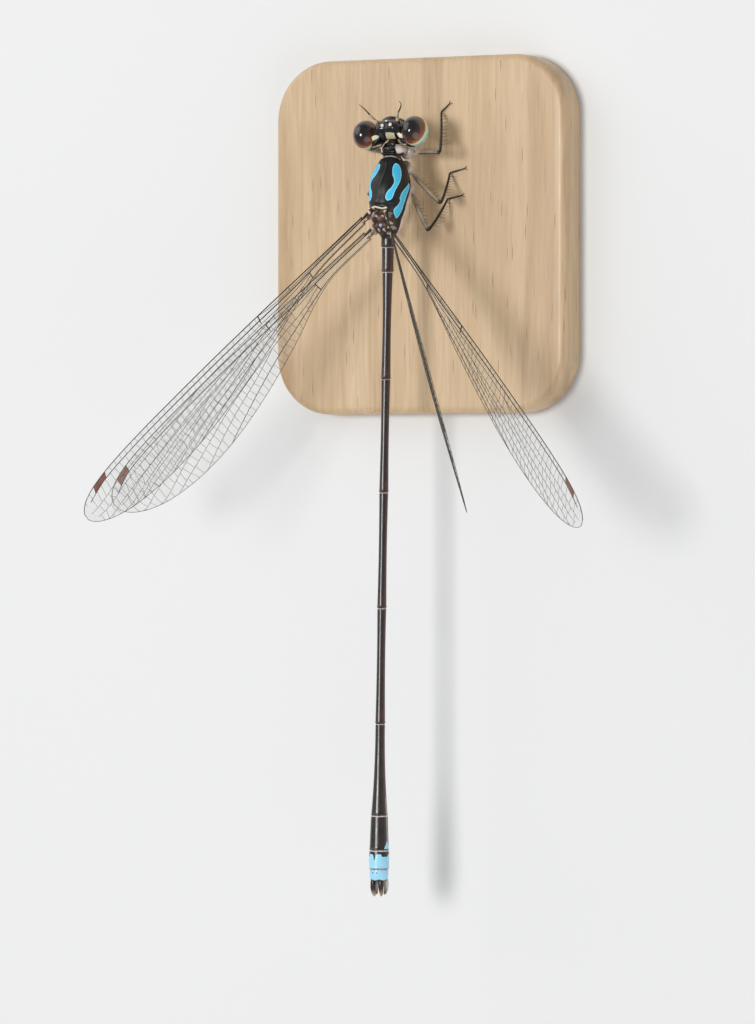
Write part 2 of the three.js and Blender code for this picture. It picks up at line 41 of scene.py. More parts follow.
# Shapes are worked out in millimetres. A body point is (x to the animal's left, station along the body,
# height above the body's own zero).
mm = 0.001
bodyOrigin = Vector((0.0, -3.0, 6.79))  # where the body's own zero stands above the base's underside
tilt = math.radians(28)  # the camera leans this far to the animal's right


def along(rows, spot):
    # smooth values between rows of [spot, value, value ...], the same easing as the solids have
    last = len(rows) - 1
    low = 0
    while low < last - 1 and spot > rows[low + 1][0]:
        low += 1
    start, end = rows[low], rows[low + 1]
    before, after = rows[max(low - 1, 0)], rows[min(low + 2, last)]
    span = end[0] - start[0]
    share = min(max((spot - start[0]) / span, 0.0), 1.0)
    s2, s3 = share * share, share ** 3
    values = []
    for k in range(1, len(start)):
        slopeIn = (end[k] - before[k]) / max(end[0] - before[0], 1e-6)
        slopeOut = (after[k] - start[k]) / max(after[0] - start[0], 1e-6)
        values.append(
            (2 * s3 - 3 * s2 + 1) * start[k]
            + (s3 - 2 * s2 + share) * span * slopeIn
            + (3 * s2 - 2 * s3) * end[k]
            + (s3 - s2) * span * slopeOut
        )
    return values


def ease(low, high, value):
    t = np.clip((np.asarray(value, float) - low) / (high - low), 0, 1)
    return t * t * (3 - 2 * t)


def hump(value, middle, width):
    return np.exp(-(((np.asarray(value, float) - middle) / width) ** 2))


def mixed(colours, other, share):
    share = np.asarray(share)[..., None]
    return colours * (1 - share) + np.asarray(other) * share


def loopFaces(rings, columns, start=0):
    # quads between rings of the same number of points
    faces = []
    for i in range(rings - 1):
        for j in range(columns):
            a = start + i * columns + j
            b = start + i * columns + (j + 1) % columns
            faces.append((a, b, b + columns, a + columns))
    return faces


def tube(points, radii, sides=8, squash=1.0):
    # a closed round limb through the points, with its own radius at each, ends rounded in
    points = np.asarray(points, float)
    ways = np.gradient(points, axis=0)
    ways /= np.linalg.norm(ways, axis=1)[:, None]
    across = np.array([0.0, 0.0, 1.0]) if abs(ways[0][2]) < 0.9 else np.array([1.0, 0.0, 0.0])
    verts = []
    for point, way, radius in zip(points, ways, radii):
        across = across - way * across.dot(way)
        across /= np.linalg.norm(across)
        other = np.cross(way, across)
        for k in range(sides):
            turn = 2 * math.pi * k / sides
            verts.append(point + radius * (squash * across * math.cos(turn) + other * math.sin(turn)))
    faces = loopFaces(len(points), sides)
    faces.append(tuple(range(sides - 1, -1, -1)))
    last = (len(points) - 1) * sides
    faces.append(tuple(range(last, last + sides)))
    return np.array(verts), faces


bothSides = (("left", 1), ("right", -1))  # x is the animal's left


class Shape:
    # gathers parts of one mesh, with named numbers and colours on its points
    def __init__(self):
        self.verts, self.faces, self.layers, self.count = [], [], {}, 0

    def add(self, verts, faces, **layers):
        verts = np.asarray(verts, float)
        self.verts.append(verts)
        self.faces += [tuple(k + self.count for k in face) for face in faces]
        for name, values in layers.items():
            values = np.asarray(values, float)
            if values.ndim == 0 or values.shape[0] != len(verts):
                values = np.broadcast_to(values, (len(verts),) + values.shape)
            self.layers.setdefault(name, []).append(values)
        self.count += len(verts)

    def build(self, name, material, slot, origin=None):
        points = np.concatenate(self.verts) + np.array(bodyOrigin if origin is None else origin)
        mesh = bpy.data.meshes.new(name)
        mesh.from_pydata((points * mm).tolist(), [], self.faces)
        for layer, parts in self.layers.items():
            writeLayer(mesh, layer, np.concatenate(parts))
        return place(name, mesh, material)


def writeLayer(mesh, name, values):
    if values.ndim == 1:
        layer = mesh.attributes.new(name, "FLOAT", "POINT")
        layer.data.foreach_set("value", values.astype(np.float32))
    else:
        layer = mesh.attributes.new(name, "FLOAT_COLOR", "POINT")
        full = np.ones((len(values), 4), np.float32)
        full[:, :3] = values
        layer.data.foreach_set("color", full.ravel())


def place(name, mesh, material):
    mesh.polygons.foreach_set("use_smooth", [True] * len(mesh.polygons))
    mesh.materials.append(material)
    piece = bpy.data.objects.new(name, mesh)
    bpy.context.scene.collection.objects.link(piece)
    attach(piece, "root")
    return piece


camera = {"pixelsPerMm": 15.0, "distance": 400.0, "midline": 388.0, "wingRow": 187.8, "size": (755, 1024)}


def addCamera():
    toward = Vector((-math.sin(tilt), 0, math.cos(tilt)))
    right = Vector((-math.cos(tilt), 0, -math.sin(tilt)))
    up = Vector((0, -1, 0))
    scale = camera["pixelsPerMm"]
    width, height = camera["size"]
    aim = bodyOrigin + right * ((width / 2 - camera["midline"]) / scale)
    aim = aim + Vector((0, 1, 0)) * ((height / 2 - camera["wingRow"]) / scale)
    data = bpy.data.cameras.new("photoCamera")
    data.sensor_width = 36
    data.lens = 36 * camera["distance"] / (height / scale)
    data.clip_start = 0.01
    eye = bpy.data.objects.new("photoCamera", data)
    where = (aim + toward * camera["distance"]) * mm
    turn = Matrix((right, up, toward)).transposed().to_4x4()
    eye.matrix_world = Matrix.Translation(where) @ turn
    bpy.context.scene.collection.objects.link(eye)
    bpy.context.scene.camera = eye
    return aim * mm


studio = {
    "world": 0.36,
    "worldTint": (0.95, 0.97, 1.0),
    "lamps": {  # place in metres, size of the disk, power
        "keyLight": ((0.05, -0.01, 0.44), 0.11, 1.0),
        "sideLight": ((0.36, -0.24, 0.24), 0.5, 0.85),
        "rearLight": ((-0.34, 0.3, 0.2), 0.5, 0.7),
    },
    "floor": (0.8, 0.8, 0.79),
    "floorShades": [(0.3, (0.79, 0.79, 0.78)), (0.7, (0.81, 0.81, 0.8))],
    "floorReach": 1.5,
}


def areaLight(name, where, aim, size, power):
    data = bpy.data.lights.new(name, "AREA")
    data.shape = "DISK"
    data.size = size
    data.energy = power
    lamp = bpy.data.objects.new(name, data)
    lamp.location = where
    lamp.rotation_euler = (Vector(aim) - Vector(where)).to_track_quat("-Z", "Y").to_euler()
    bpy.context.scene.collection.objects.link(lamp)


def addStudio(aim):
    bpy.context.scene.view_settings.view_transform = "Standard"
    world = bpy.data.worlds.new("studioWorld")
    bpy.context.scene.world = world
    world.use_nodes = True
    back = world.node_tree.nodes["Background"]
    back.inputs["Color"].default_value = (*studio["worldTint"], 1)
    back.inputs["Strength"].default_value = studio["world"]
    for name, (where, size, power) in studio["lamps"].items():
        areaLight(name, where, aim, size, power)

    material, tree, shader = newMaterial("paleFloor", studio["floor"], 0.75)
    cloud = texture(tree, "Noise", Scale=9.0, Detail=5.0)
    join(tree, ramp(tree, cloud.outputs["Fac"], studio["floorShades"]), shader.inputs["Base Color"])
    side = studio["floorReach"]
    mesh = bpy.data.meshes.new("studioFloor")
    corners = [(-side, -side, 0), (side, -side, 0), (side, side, 0), (-side, side, 0)]
    mesh.from_pydata(corners, [], [(0, 1, 2, 3)])
    mesh.materials.append(material)
    floor = bpy.data.objects.new("studioFloor", mesh)
    bpy.context.scene.collection.objects.link(floor)


def newMaterial(name, colour, roughness, **values):
    material = bpy.data.materials.new(name)
    material.use_nodes = True
    tree = material.node_tree
    shader = tree.nodes["Principled BSDF"]
    shader.inputs["Base Color"].default_value = (*colour, 1)
    shader.inputs["Roughness"].default_value = roughness
    for key, value in values.items():
        shader.inputs[key.replace("_", " ")].default_value = value
    material.diffuse_color = (*colour, 1)
    return material, tree, shader


def node(tree, kind, **values):
    made = tree.nodes.new(kind)
    for key, value in values.items():
        made.inputs[key].default_value = value
    return made


def join(tree, source, target):
    tree.links.new(source, target)


def feed(tree, value, socket):
    # gives a socket another node's output, a colour or a number
    if isinstance(value, bpy.types.NodeSocket):
        join(tree, value, socket)
    elif isinstance(value, tuple):
        socket.default_value = (*value, 1)
    elif value is not None:
        socket.default_value = value


def objectPoint(tree):
    return tree.nodes.new("ShaderNodeTexCoord").outputs["Object"]


def texture(tree, kind, **values):
    # a texture that is fixed to the piece
    made = node(tree, "ShaderNodeTex" + kind, **values)
    join(tree, objectPoint(tree), made.inputs["Vector"])
    return made


def addBump(tree, shader, height, strength, depth, invert=False):
    bump = node(tree, "ShaderNodeBump", Strength=strength, Distance=depth)
    bump.invert = invert
    join(tree, height, bump.inputs["Height"])
    join(tree, bump.outputs["Normal"], shader.inputs["Normal"])


def attribute(tree, name, output="Fac"):
    made = tree.nodes.new("ShaderNodeAttribute")
    made.attribute_name = name
    return made.outputs[output]


def ramp(tree, source, stops):
    made = tree.nodes.new("ShaderNodeValToRGB")
    while len(made.color_ramp.elements) < len(stops):
        made.color_ramp.elements.new(0.5)
    for element, (spot, colour) in zip(made.color_ramp.elements, stops):
        element.position = spot
        element.color = (*colour, 1)
    join(tree, source, made.inputs["Fac"])
    return made.outputs["Color"]


def blendColour(tree, share, first, second, way="MIX"):
    made = tree.nodes.new("ShaderNodeMix")
    made.data_type = "RGBA"
    made.blend_type = way
    for value, number in ((share, 0), (first, 6), (second, 7)):  # the colour sockets of a Mix node
        feed(tree, value, made.inputs[number])
    return made.outputs[2]


def sums(tree, way, first, second, third=None):
    made = tree.nodes.new("ShaderNodeMath")
    made.operation = way
    for socket, value in zip(made.inputs, (first, second, third)):
        feed(tree, value, socket)
    return made.outputs[0]


def remap(tree, source, low, high, newLow=0.0, newHigh=1.0, smooth=True):
    made = tree.nodes.new("ShaderNodeMapRange")
    made.interpolation_type = "SMOOTHSTEP" if smooth else "LINEAR"
    join(tree, source, made.inputs["Value"])
    for key, value in (("From Min", low), ("From Max", high), ("To Min", newLow), ("To Max", newHigh)):
        feed(tree, value, made.inputs[key])
    return made.outputs["Result"]


def newGroup(name, inputs, outputs):
    group = bpy.data.node_groups.new(name, "ShaderNodeTree")
    for label, value in inputs:
        socket = group.interface.new_socket(name=label, in_out="INPUT", socket_type="NodeSocketFloat")
        socket.default_value = value
    for label in outputs:
        group.interface.new_socket(name=label, in_out="OUTPUT", socket_type="NodeSocketFloat")
    return group, group.nodes.new("NodeGroupInput"), group.nodes.new("NodeGroupOutput")


def useGroup(tree, group, **values):
    made = tree.nodes.new("ShaderNodeGroup")
    made.node_tree = group
    for key, value in values.items():
        feed(tree, value, made.inputs[key])
    return made.outputs


def markEdgeGroup():
    # turns a distance to a marking's edge, in mm, into a mask with a slightly ragged, soft edge
    group, start, end = newGroup("markEdge", [("Distance", 0.0), ("Ragged", 0.03), ("Soft", 0.012)], ["Mask"])
    grain = texture(group, "Noise", Scale=7000.0, Detail=3.0)
    centred = sums(group, "SUBTRACT", grain.outputs["Fac"], 0.5)
    wander = sums(group, "MULTIPLY_ADD", centred, start.outputs["Ragged"], start.outputs["Distance"])
    low = sums(group, "MULTIPLY", start.outputs["Soft"], -1.0)
    join(group, remap(group, wander, low, start.outputs["Soft"]), end.inputs["Mask"])
    return group


def cuticleGrainGroup():
    # uneven pigment and the fine pitted relief of a hard skin
    inputs = [("Patch", 1800.0), ("Pits", 26000.0), ("Depth", 0.5)]
    group, start, end = newGroup("cuticleGrain", inputs, ["Mottle", "Relief"])
    broad = texture(group, "Noise", Detail=4.0, Roughness=0.6)
    join(group, start.outputs["Patch"], broad.inputs["Scale"])
    join(group, remap(group, broad.outputs["Fac"], 0.3, 0.7), end.inputs["Mottle"])
    pits = texture(group, "Voronoi")
    join(group, start.outputs["Pits"], pits.inputs["Scale"])
    dimple = remap(group, pits.outputs["Distance"], 0.0, 0.55)
    deep = sums(group, "MULTIPLY", dimple, start.outputs["Depth"])
    join(group, sums(group, "ADD", deep, broad.outputs["Fac"]), end.inputs["Relief"])
    return group


markEdge = markEdgeGroup()
cuticleGrain = cuticleGrainGroup()

skinFinish = {
    "black": (0.012, 0.011, 0.012),
    "mottle": [(0.0, (0.72, 0.72, 0.72)), (1.0, (1.15, 1.12, 1.1))],
    "cream": [(0.0, (0.74, 0.64, 0.4)), (1.0, (0.86, 0.8, 0.58))],
    "pale": [(0.0, (0.6, 0.5, 0.44)), (1.0, (0.82, 0.73, 0.68))],
    "blue": (0.07, 0.6, 0.93),
    "blueEdge": (0.3, 0.8, 0.97),
    "tailBlue": (0.36, 0.73, 0.93),
    "blueMottle": [(0.0, (0.9, 0.93, 0.95)), (1.0, (1.0, 1.0, 1.0))],
    "edges": {"pale": (0.06, 0.03), "cream": (0.03, 0.014), "blue": (0.025, 0.012)},  # ragged and soft, in mm
    "specular": 0.34,
    "roughness": (0.36, 0.5),
    "markRoughness": 0.12,
    "neckGloss": -0.18,
    "tailGloss": -0.04,
    "tailCoat": 0.6,
    "tailStart": (2.8, 3.6),  # stations between which the thorax's finish becomes the tail's
    "bump": 0.1,
    "tailBump": 0.3,
}


def skinMaterial(name, marks=True, roughness=None, coat=0.12, coatRoughness=0.12):
    low, high = roughness or skinFinish["roughness"]
    material, tree, shader = newMaterial(name, skinFinish["black"], high)
    shader.inputs["Coat Weight"].default_value = coat
    shader.inputs["Specular IOR Level"].default_value = skinFinish["specular"]
    shader.inputs["Coat Roughness"].default_value = coatRoughness
    grain = useGroup(tree, cuticleGrain, Patch=1800.0)
    mottle, height = grain["Mottle"], grain["Relief"]
    shade = ramp(tree, mottle, skinFinish["mottle"])
    colour = blendColour(tree, 1.0, attribute(tree, "tint", "Color"), shade, "MULTIPLY")
    gloss = remap(tree, mottle, 0.0, 1.0, low, high)
    if marks:
        masks = {}
        for mark, (ragged, soft) in skinFinish["edges"].items():
            distance = attribute(tree, mark)
            masks[mark] = useGroup(tree, markEdge, Distance=distance, Ragged=ragged, Soft=soft)["Mask"]
        for mark in ("pale", "cream"):
            colour = blendColour(tree, masks[mark], colour, ramp(tree, mottle, skinFinish[mark]))
        station = attribute(tree, "station")
        inner = remap(tree, attribute(tree, "blue"), 0.02, 0.12)
        thoraxBlue = blendColour(tree, inner, skinFinish["blueEdge"], skinFinish["blue"])
        blueShade = blendColour(tree, remap(tree, station, 20.0, 30.0), thoraxBlue, skinFinish["tailBlue"])
        faint = ramp(tree, mottle, skinFinish["blueMottle"])
        blue = blendColour(tree, 1.0, blueShade, faint, "MULTIPLY")
        colour = blendColour(tree, masks["blue"], colour, blue)
        light = sums(tree, "MAXIMUM", masks["blue"], sums(tree, "MAXIMUM", masks["cream"], masks["pale"]))
        behind = remap(tree, station, *skinFinish["tailStart"])
        gloss = sums(tree, "ADD", gloss, remap(tree, station, -2.5, -2.2, skinFinish["neckGloss"], 0.0))
        gloss = sums(tree, "MULTIPLY_ADD", behind, skinFinish["tailGloss"], gloss)
        gloss = sums(tree, "MULTIPLY_ADD", light, skinFinish["markRoughness"], gloss)
        coatShare = sums(tree, "MULTIPLY_ADD", behind, skinFinish["tailCoat"], coat)
        join(tree, coatShare, shader.inputs["Coat Weight"])
        calm = remap(tree, station, *skinFinish["tailStart"], 1.0, skinFinish["tailBump"])
        height = sums(tree, "MULTIPLY", height, calm)
    join(tree, colour, shader.inputs["Base Color"])
    join(tree, gloss, shader.inputs["Roughness"])
    addBump(tree, shader, height, skinFinish["bump"], 0.00002)
    return material


print("shared effects made")


bodyRows = [  # station, half width, top, bottom
    [-3.36, 0.26, -0.62, -1.02], [-3.14, 0.34, -0.46, -1.05], [-2.98, 0.52, -0.34, -1.16],
    [-2.84, 0.74, -0.22, -1.36], [-2.66, 0.86, -0.16, -1.48], [-2.48, 0.86, -0.15, -1.5],
    [-2.32, 0.76, -0.12, -1.36], [-2.18, 0.62, -0.14, -1.15], [-2.04, 0.62, -0.12, -1.08],
    [-1.85, 0.78, 0.14, -1.15], [-1.3, 1.03, 0.58, -1.48], [-0.8, 1.2, 0.96, -1.7],
    [-0.3, 1.28, 1.2, -1.8], [0.5, 1.26, 1.32, -1.74], [1.2, 1.16, 1.36, -1.52],
    [1.5, 1.1, 1.16, -1.42], [2.2, 0.97, 1.13, -1.05], [2.75, 0.82, 0.94, -0.7],
    [3.05, 0.62, 0.68, -0.5], [3.24, 0.46, 0.47, -0.45], [3.4, 0.44, 0.44, -0.44],
]
tailRows = [  # first and last station, half width at the start, middle and end
    (3.35, 3.95, 0.44, 0.45, 0.43), (3.95, 5.6, 0.41, 0.39, 0.4), (5.6, 12.75, 0.35, 0.28, 0.32),
    (12.75, 20.3, 0.3, 0.27, 0.31), (20.3, 28.0, 0.3, 0.27, 0.31), (28.0, 35.7, 0.3, 0.28, 0.33),
    (35.7, 41.8, 0.32, 0.37, 0.55), (41.8, 44.1, 0.56, 0.6, 0.64), (44.1, 45.35, 0.65, 0.67, 0.66),
    (45.35, 46.1, 0.62, 0.62, 0.58),
]
tailJoints = [row[1] for row in tailRows[:-1]]
tailBend = {"start": 3.35, "length": 42.75, "swing": 0.2, "rise": 0.9}

stripe = {  # outline of each blue stripe on the thorax: station and degrees from the back's midline
    "front": [
        (-1.61, 47.0), (-1.45, 62.0), (-1.06, 68.0), (-0.64, 66.0), (-0.29, 60.6), (-0.01, 54.0),
        (0.34, 46.7), (0.73, 42.0), (0.87, 36.0), (0.92, 26.1), (0.73, 19.6), (0.55, 19.6),
        (0.3, 24.4), (0.06, 34.0), (-0.15, 39.9), (-0.36, 42.6), (-0.57, 40.2), (-0.78, 35.6),
        (-1.06, 32.4), (-1.34, 32.0), (-1.54, 37.0),
    ],
    "side": [
        (-0.33, 98.1), (-0.08, 103.3), (0.13, 99.0), (0.41, 93.7), (0.73, 90.6), (0.97, 89.7), (1.32, 86.4),
        (1.74, 80.2), (1.99, 73.3), (2.09, 65.7), (1.95, 57.5), (1.71, 48.7), (1.53, 47.4), (1.39, 52.5),
        (1.22, 64.1), (0.94, 70.5), (0.83, 69.4), (0.76, 67.1), (0.59, 68.1), (0.34, 72.4), (0.09, 81.8),
        (-0.12, 91.2),
    ],
    "mmPerDegree": 0.0235,  # round the thorax
    "shoulderSeam": [(-1.7, 76), (-0.64, 79), (-0.1, 73), (0.34, 61), (0.76, 55), (1.2, 52)],
    "midline": [(-1.9, 0), (-1.5, 7), (-0.85, 8), (0.85, -5), (1.38, -15), (1.45, -15), (1.6, 0)],
    "plateShift": 12.0,  # the right side plate of the prothorax reaches further up
    "palePlates": [
        (-1.2, 150), (-0.9, 130), (-0.3, 119), (0.3, 109), (0.83, 101),
        (1.25, 99.5), (1.6, 95), (2.09, 92), (2.6, 95), (3.05, 105),
    ],
}
creamTint, pinkTint = (0.62, 0.51, 0.35), (0.2, 0.1, 0.07)
# the bluish-white tint is a painted highlight: a glint on the knob between the wing bases, not the plate's
# own colour
greyTint, paintedHighlightTint, darkTint = (0.36, 0.31, 0.28), (0.55, 0.62, 0.85), (0.03, 0.014, 0.01)
wingBaseKnobs = [  # side, station, half width, half length, height, tint; a side of 0 is on the midline
    (0.46, 1.4, 0.13, 0.1, 0.12, creamTint), (0.0, 1.7, 0.3, 0.17, 0.12, darkTint),
    (0.26, 1.62, 0.13, 0.1, 0.1, pinkTint), (0.58, 1.84, 0.24, 0.24, 0.15, greyTint),
    (0.24, 1.92, 0.12, 0.1, 0.12, creamTint), (0.0, 2.1, 0.2, 0.2, 0.14, pinkTint),
    (0.36, 2.2, 0.13, 0.2, 0.13, darkTint), (0.66, 2.36, 0.17, 0.13, 0.16, creamTint),
    # the knob on the midline at station 2.52 is coloured with the painted highlight
    (0.0, 2.52, 0.12, 0.15, 0.17, paintedHighlightTint), (0.3, 2.54, 0.14, 0.13, 0.12, pinkTint),
    (0.7, 2.72, 0.14, 0.16, 0.12, greyTint), (0.2, 2.82, 0.11, 0.13, 0.1, creamTint),
    (0.44, 2.86, 0.12, 0.12, 0.1, darkTint), (0.0, 3.0, 0.16, 0.1, 0.06, darkTint),
    (0.42, 3.16, 0.1, 0.13, 0.05, creamTint),
]
cuticle = {
    "black": (0.0065, 0.006, 0.0068),
    "tail": (0.014, 0.009, 0.007),
    "warm": (0.075, 0.024, 0.012),
    "neck": (0.03, 0.018, 0.013),
    "fold": (0.2, 0.13, 0.1),
    "wingBase": (0.05, 0.026, 0.02),
    "squareness": [(-3.3, 1), (-2.7, 0.9), (-1.9, 0.88), (1.2, 0.88), (1.7, 0.8), (2.9, 0.82), (3.3, 1)],
    "columns": 128,
}
raised = {  # heights and depths of the skin's relief, in mm
    "backRidge": 0.055, "seam": 0.03, "thoraxCollar": 0.045, "wingRidge": 0.1, "wingDip": 0.05,
    "neckCollar": 0.06, "neckGroove": 0.04, "bosses": 0.11, "lobeGroove": 0.05, "rearLobe": 0.1,
    "jointRing": 0.022, "jointGroove": 0.045, "tailRidge": 0.004, "tailFold": 0.03, "endCap": 0.09,
}
tailMarks = {  # first and last station of the light marks near the tip; the line and spot also have an angle
    "line": (40.6, 43.7, 88), "spot": (43.7, 44.02, 86), "ninth": (44.36, 45.31), "tenth": (45.44, 46.07),
    "dots": (45.6, 14),  # station and angle
    "underside": 142,
}
outside = -0.5  # mm: well clear of any marking


def tailHalf(station):
    # half width of the tail at a station
    if station <= tailRows[0][0]:
        return tailRows[0][2]
    for start, end, first, middle, last in tailRows:
        if station <= end:
            share = (station - start) / (end - start)
            waist = first + (last - first) * share
            return waist + (middle - (first + last) / 2) * (1 - (2 * share - 1) ** 2)
    return tailRows[-1][4]


def tailLine(station):
    share = min(max((station - tailBend["start"]) / tailBend["length"], 0), 1)
    return tailBend["swing"] * share, tailBend["rise"] * math.sin(share * math.pi / 2) ** 1.3


def distanceToOutline(stations, arcs, outline):
    # signed distance in mm, inside above zero, to a smoothed closed outline
    corners = np.array(outline, float)
    corners[:, 1] *= stripe["mmPerDegree"]
    fine = []
    count = len(corners)
    for k in range(count):
        p0, p1, p2, p3 = (corners[(k + n) % count] for n in (-1, 0, 1, 2))
        for t in (0.0, 0.25, 0.5, 0.75):
            curve = (2 * p1 + (p2 - p0) * t + (2 * p0 - 5 * p1 + 4 * p2 - p3) * t * t
                     + (3 * p1 - p0 - 3 * p2 + p3) * t ** 3)
            fine.append(0.5 * curve)
    fine = np.array(fine)
    x, y = stations.ravel(), arcs.ravel() * stripe["mmPerDegree"]
    nearest = np.full(x.shape, 1e9)
    inside = np.zeros(x.shape, bool)
    for a, b in zip(fine, np.roll(fine, -1, axis=0)):
        edge = b - a
        t = np.clip(((x - a[0]) * edge[0] + (y - a[1]) * edge[1]) / max(edge.dot(edge), 1e-12), 0, 1)
        nearest = np.minimum(nearest, np.hypot(x - a[0] - t * edge[0], y - a[1] - t * edge[1]))
        crosses = (a[1] > y) != (b[1] > y)
        step = edge[1] if abs(edge[1]) > 1e-12 else 1e-12
        inside ^= crosses & (x < a[0] + (y - a[1]) / step * edge[0])
    return np.where(inside, nearest, -nearest).reshape(stations.shape)


def thoraxMidline(s):
    # the thorax is a little twisted, so its midline wanders: degrees to the animal's right
    return np.interp(s, *zip(*stripe["midline"]))


def bodyStations():
    spots = list(np.arange(-3.36, 3.2, 0.036)) + list(np.arange(3.2, 45.9, 0.17))
    for joint in tailJoints:
        spots += list(np.arange(joint - 0.28, joint + 0.28, 0.028))
    spots += list(np.arange(43.9, 46.1, 0.04)) + [46.1]
    spots = np.unique(np.round(spots, 3))
    keep = [spots[0]]
    for spot in spots[1:]:
        if spot - keep[-1] > 0.012:
            keep.append(spot)
    return np.array(keep)


def ridgeWave(side):
    # the curved ridge in front of the wings
    return 1.38 - 0.06 * np.cos(np.radians(side * 7))


def bodyRelief(s, turn, arc):
    # how far the hard skin stands out or sinks in, in mm
    side = np.abs(turn)
    perDegree = stripe["mmPerDegree"]
    thorax = ease(-1.95, -1.75, s) * (1 - ease(1.1, 1.3, s))
    relief = raised["backRidge"] * hump(arc, 0, 0.04) * thorax
    shoulder = np.interp(s, *zip(*stripe["shoulderSeam"]))
    relief -= raised["seam"] * hump((side - shoulder) * perDegree, 0, 0.028) * thorax
    seam = np.interp(s, *zip(*stripe["palePlates"])) - 3
    lower = ease(-1.2, -0.8, s) * (1 - ease(2.4, 2.8, s))
    relief -= raised["seam"] * hump((side - seam) * perDegree, 0, 0.03) * lower
    relief += raised["thoraxCollar"] * hump(s, -1.93, 0.045) * (1 - ease(70, 110, side))
    ridge = np.abs(turn - thoraxMidline(s))
    relief += raised["wingRidge"] * hump(s, ridgeWave(ridge), 0.055) * (1 - ease(37, 50, ridge))
    relief -= raised["wingDip"] * hump(s, 1.18, 0.08) * (1 - ease(30, 60, side))
    # prothorax: front collar, two bosses, rear lobe
    relief += raised["neckCollar"] * hump(s, -2.98, 0.05) - raised["neckGroove"] * hump(s, -2.88, 0.04)
    relief += raised["bosses"] * hump(s, -2.68, 0.12) * (hump(turn, 24, 14) + hump(turn, -20, 14))
    relief -= raised["lobeGroove"] * hump(s, -2.42, 0.04)
    relief += raised["rearLobe"] * hump(s, -2.28, 0.05) * (1 - ease(50, 95, side))
    # tail: joints, back ridge and the folded-in lower edges of the plates
    for joint in tailJoints:
        relief += raised["jointRing"] * hump(s, joint - 0.07, 0.05)
        relief -= raised["jointGroove"] * hump(s, joint + 0.005, 0.022)
    tail = ease(3.3, 3.6, s)
    relief += raised["tailRidge"] * hump(arc, 0, 0.05) * tail
    relief -= raised["tailFold"] * hump(side, 152, 7) * tail
    return relief


def bodyTint(s, turn):
    # ground colour before the sharp markings
    side = np.abs(turn)
    colour = np.broadcast_to(np.array(cuticle["black"]), s.shape + (3,)).copy()
    colour = mixed(colour, cuticle["neck"], (1 - ease(-3.06, -2.98, s)) * 0.85)
    fold = hump(s, -2.1, 0.06) * 0.7
    colour = mixed(colour, cuticle["fold"], fold * ease(40, 80, side))
    tail = ease(3.1, 3.5, s)
    colour = mixed(colour, cuticle["tail"], tail)
    warmth = 0.5 * ease(20, 80, side) * tail * (1 - ease(40, 43, s))
    for joint in tailJoints[1:6]:
        warmth = warmth + 0.45 * hump(s, joint - 0.45, 0.4)
    warmth = warmth + 0.5 * hump(side, 88, 9) * ease(35.7, 36.4, s) * (1 - ease(40.5, 42, s))
    colour = mixed(colour, cuticle["warm"], np.clip(warmth, 0, 0.85))
    base = ease(1.46, 1.56, s) * (1 - ease(2.9, 3.1, s)) * (1 - ease(60, 80, side))
    return mixed(colour, cuticle["wingBase"], base)


def bodyMarks(s, turn):
    # distances to the markings' edges, in mm, inside above zero
    side = np.abs(turn)
    blue, cream, pale = (np.full(s.shape, outside) for _ in range(3))
    thorax = (s > -2.3) & (s < 3.1)
    shifted = side + np.where(turn < 0, 2 * thoraxMidline(s), 0)
    for outline, angle in ((stripe["front"], shifted), (stripe["side"], side)):
        blue[thorax] = np.maximum(blue[thorax], distanceToOutline(s[thorax], angle[thorax], outline))
    edge = np.interp(s, *zip(*stripe["palePlates"]))
    plates = np.minimum((side - edge) * stripe["mmPerDegree"], np.minimum(s + 1.1, 3.0 - s))
    pale = np.maximum(pale, np.where(thorax, plates, outside))
    # the prothorax's pale side plates and the thin arch behind it
    lowered = side + np.where(turn > 0, stripe["plateShift"], 0)
    plate = 0.31 - np.hypot(s + 2.64 + 0.05 * np.sin(side * 0.09), np.clip(60 - lowered, 0, 99) * 0.016)
    pale = np.maximum(pale, np.where(s < -2.2, plate, outside))
    arch = -2.12 + 0.3 * (1 - np.cos(np.radians(side)))
    pale = np.maximum(pale, np.minimum(0.02 - np.abs(s - arch), (76 - side) * 0.012))
    ridge = np.abs(turn - thoraxMidline(s))
    cream = np.maximum(cream, np.minimum(0.055 - np.abs(s - ridgeWave(ridge)), (39 - ridge) * 0.02))
    # the tail's pale joints, then its side line, side spot and tip
    for joint in tailJoints:
        strong = 0.03 if joint > 41 else 0.016
        pale = np.maximum(pale, strong - np.abs(s - joint - 0.05))
    first, last, middle = tailMarks["line"]
    line = np.minimum(0.024 - np.abs(side - middle) * 0.009, np.minimum(s - first, last - s))
    cream = np.maximum(cream, line)
    first, last, middle = tailMarks["spot"]
    spot = np.minimum(0.13 + 0.5 * (s - first) - np.abs(side - middle) * 0.0105, last - s)
    blue = np.maximum(blue, spot)
    first, last = tailMarks["ninth"]
    notch = 0.42 * hump(turn, 0, 7) + 0.17 * ease(38, 46, side) * (1 - ease(84, 94, side))
    ninth = np.minimum(s - (first + notch), last - s)
    first, last = tailMarks["tenth"]
    waves = 0.03 * np.cos(np.radians(side * 6))
    tenth = np.minimum(s - first, last + waves - s)
    middle, apart = tailMarks["dots"]
    dots = np.hypot(s - middle, (side - apart) * 0.0115) - 0.05
    under = (tailMarks["underside"] - side) * 0.011
    blue = np.maximum(blue, np.minimum(under, np.maximum(ninth, np.minimum(tenth, dots))))
    return blue, cream, pale


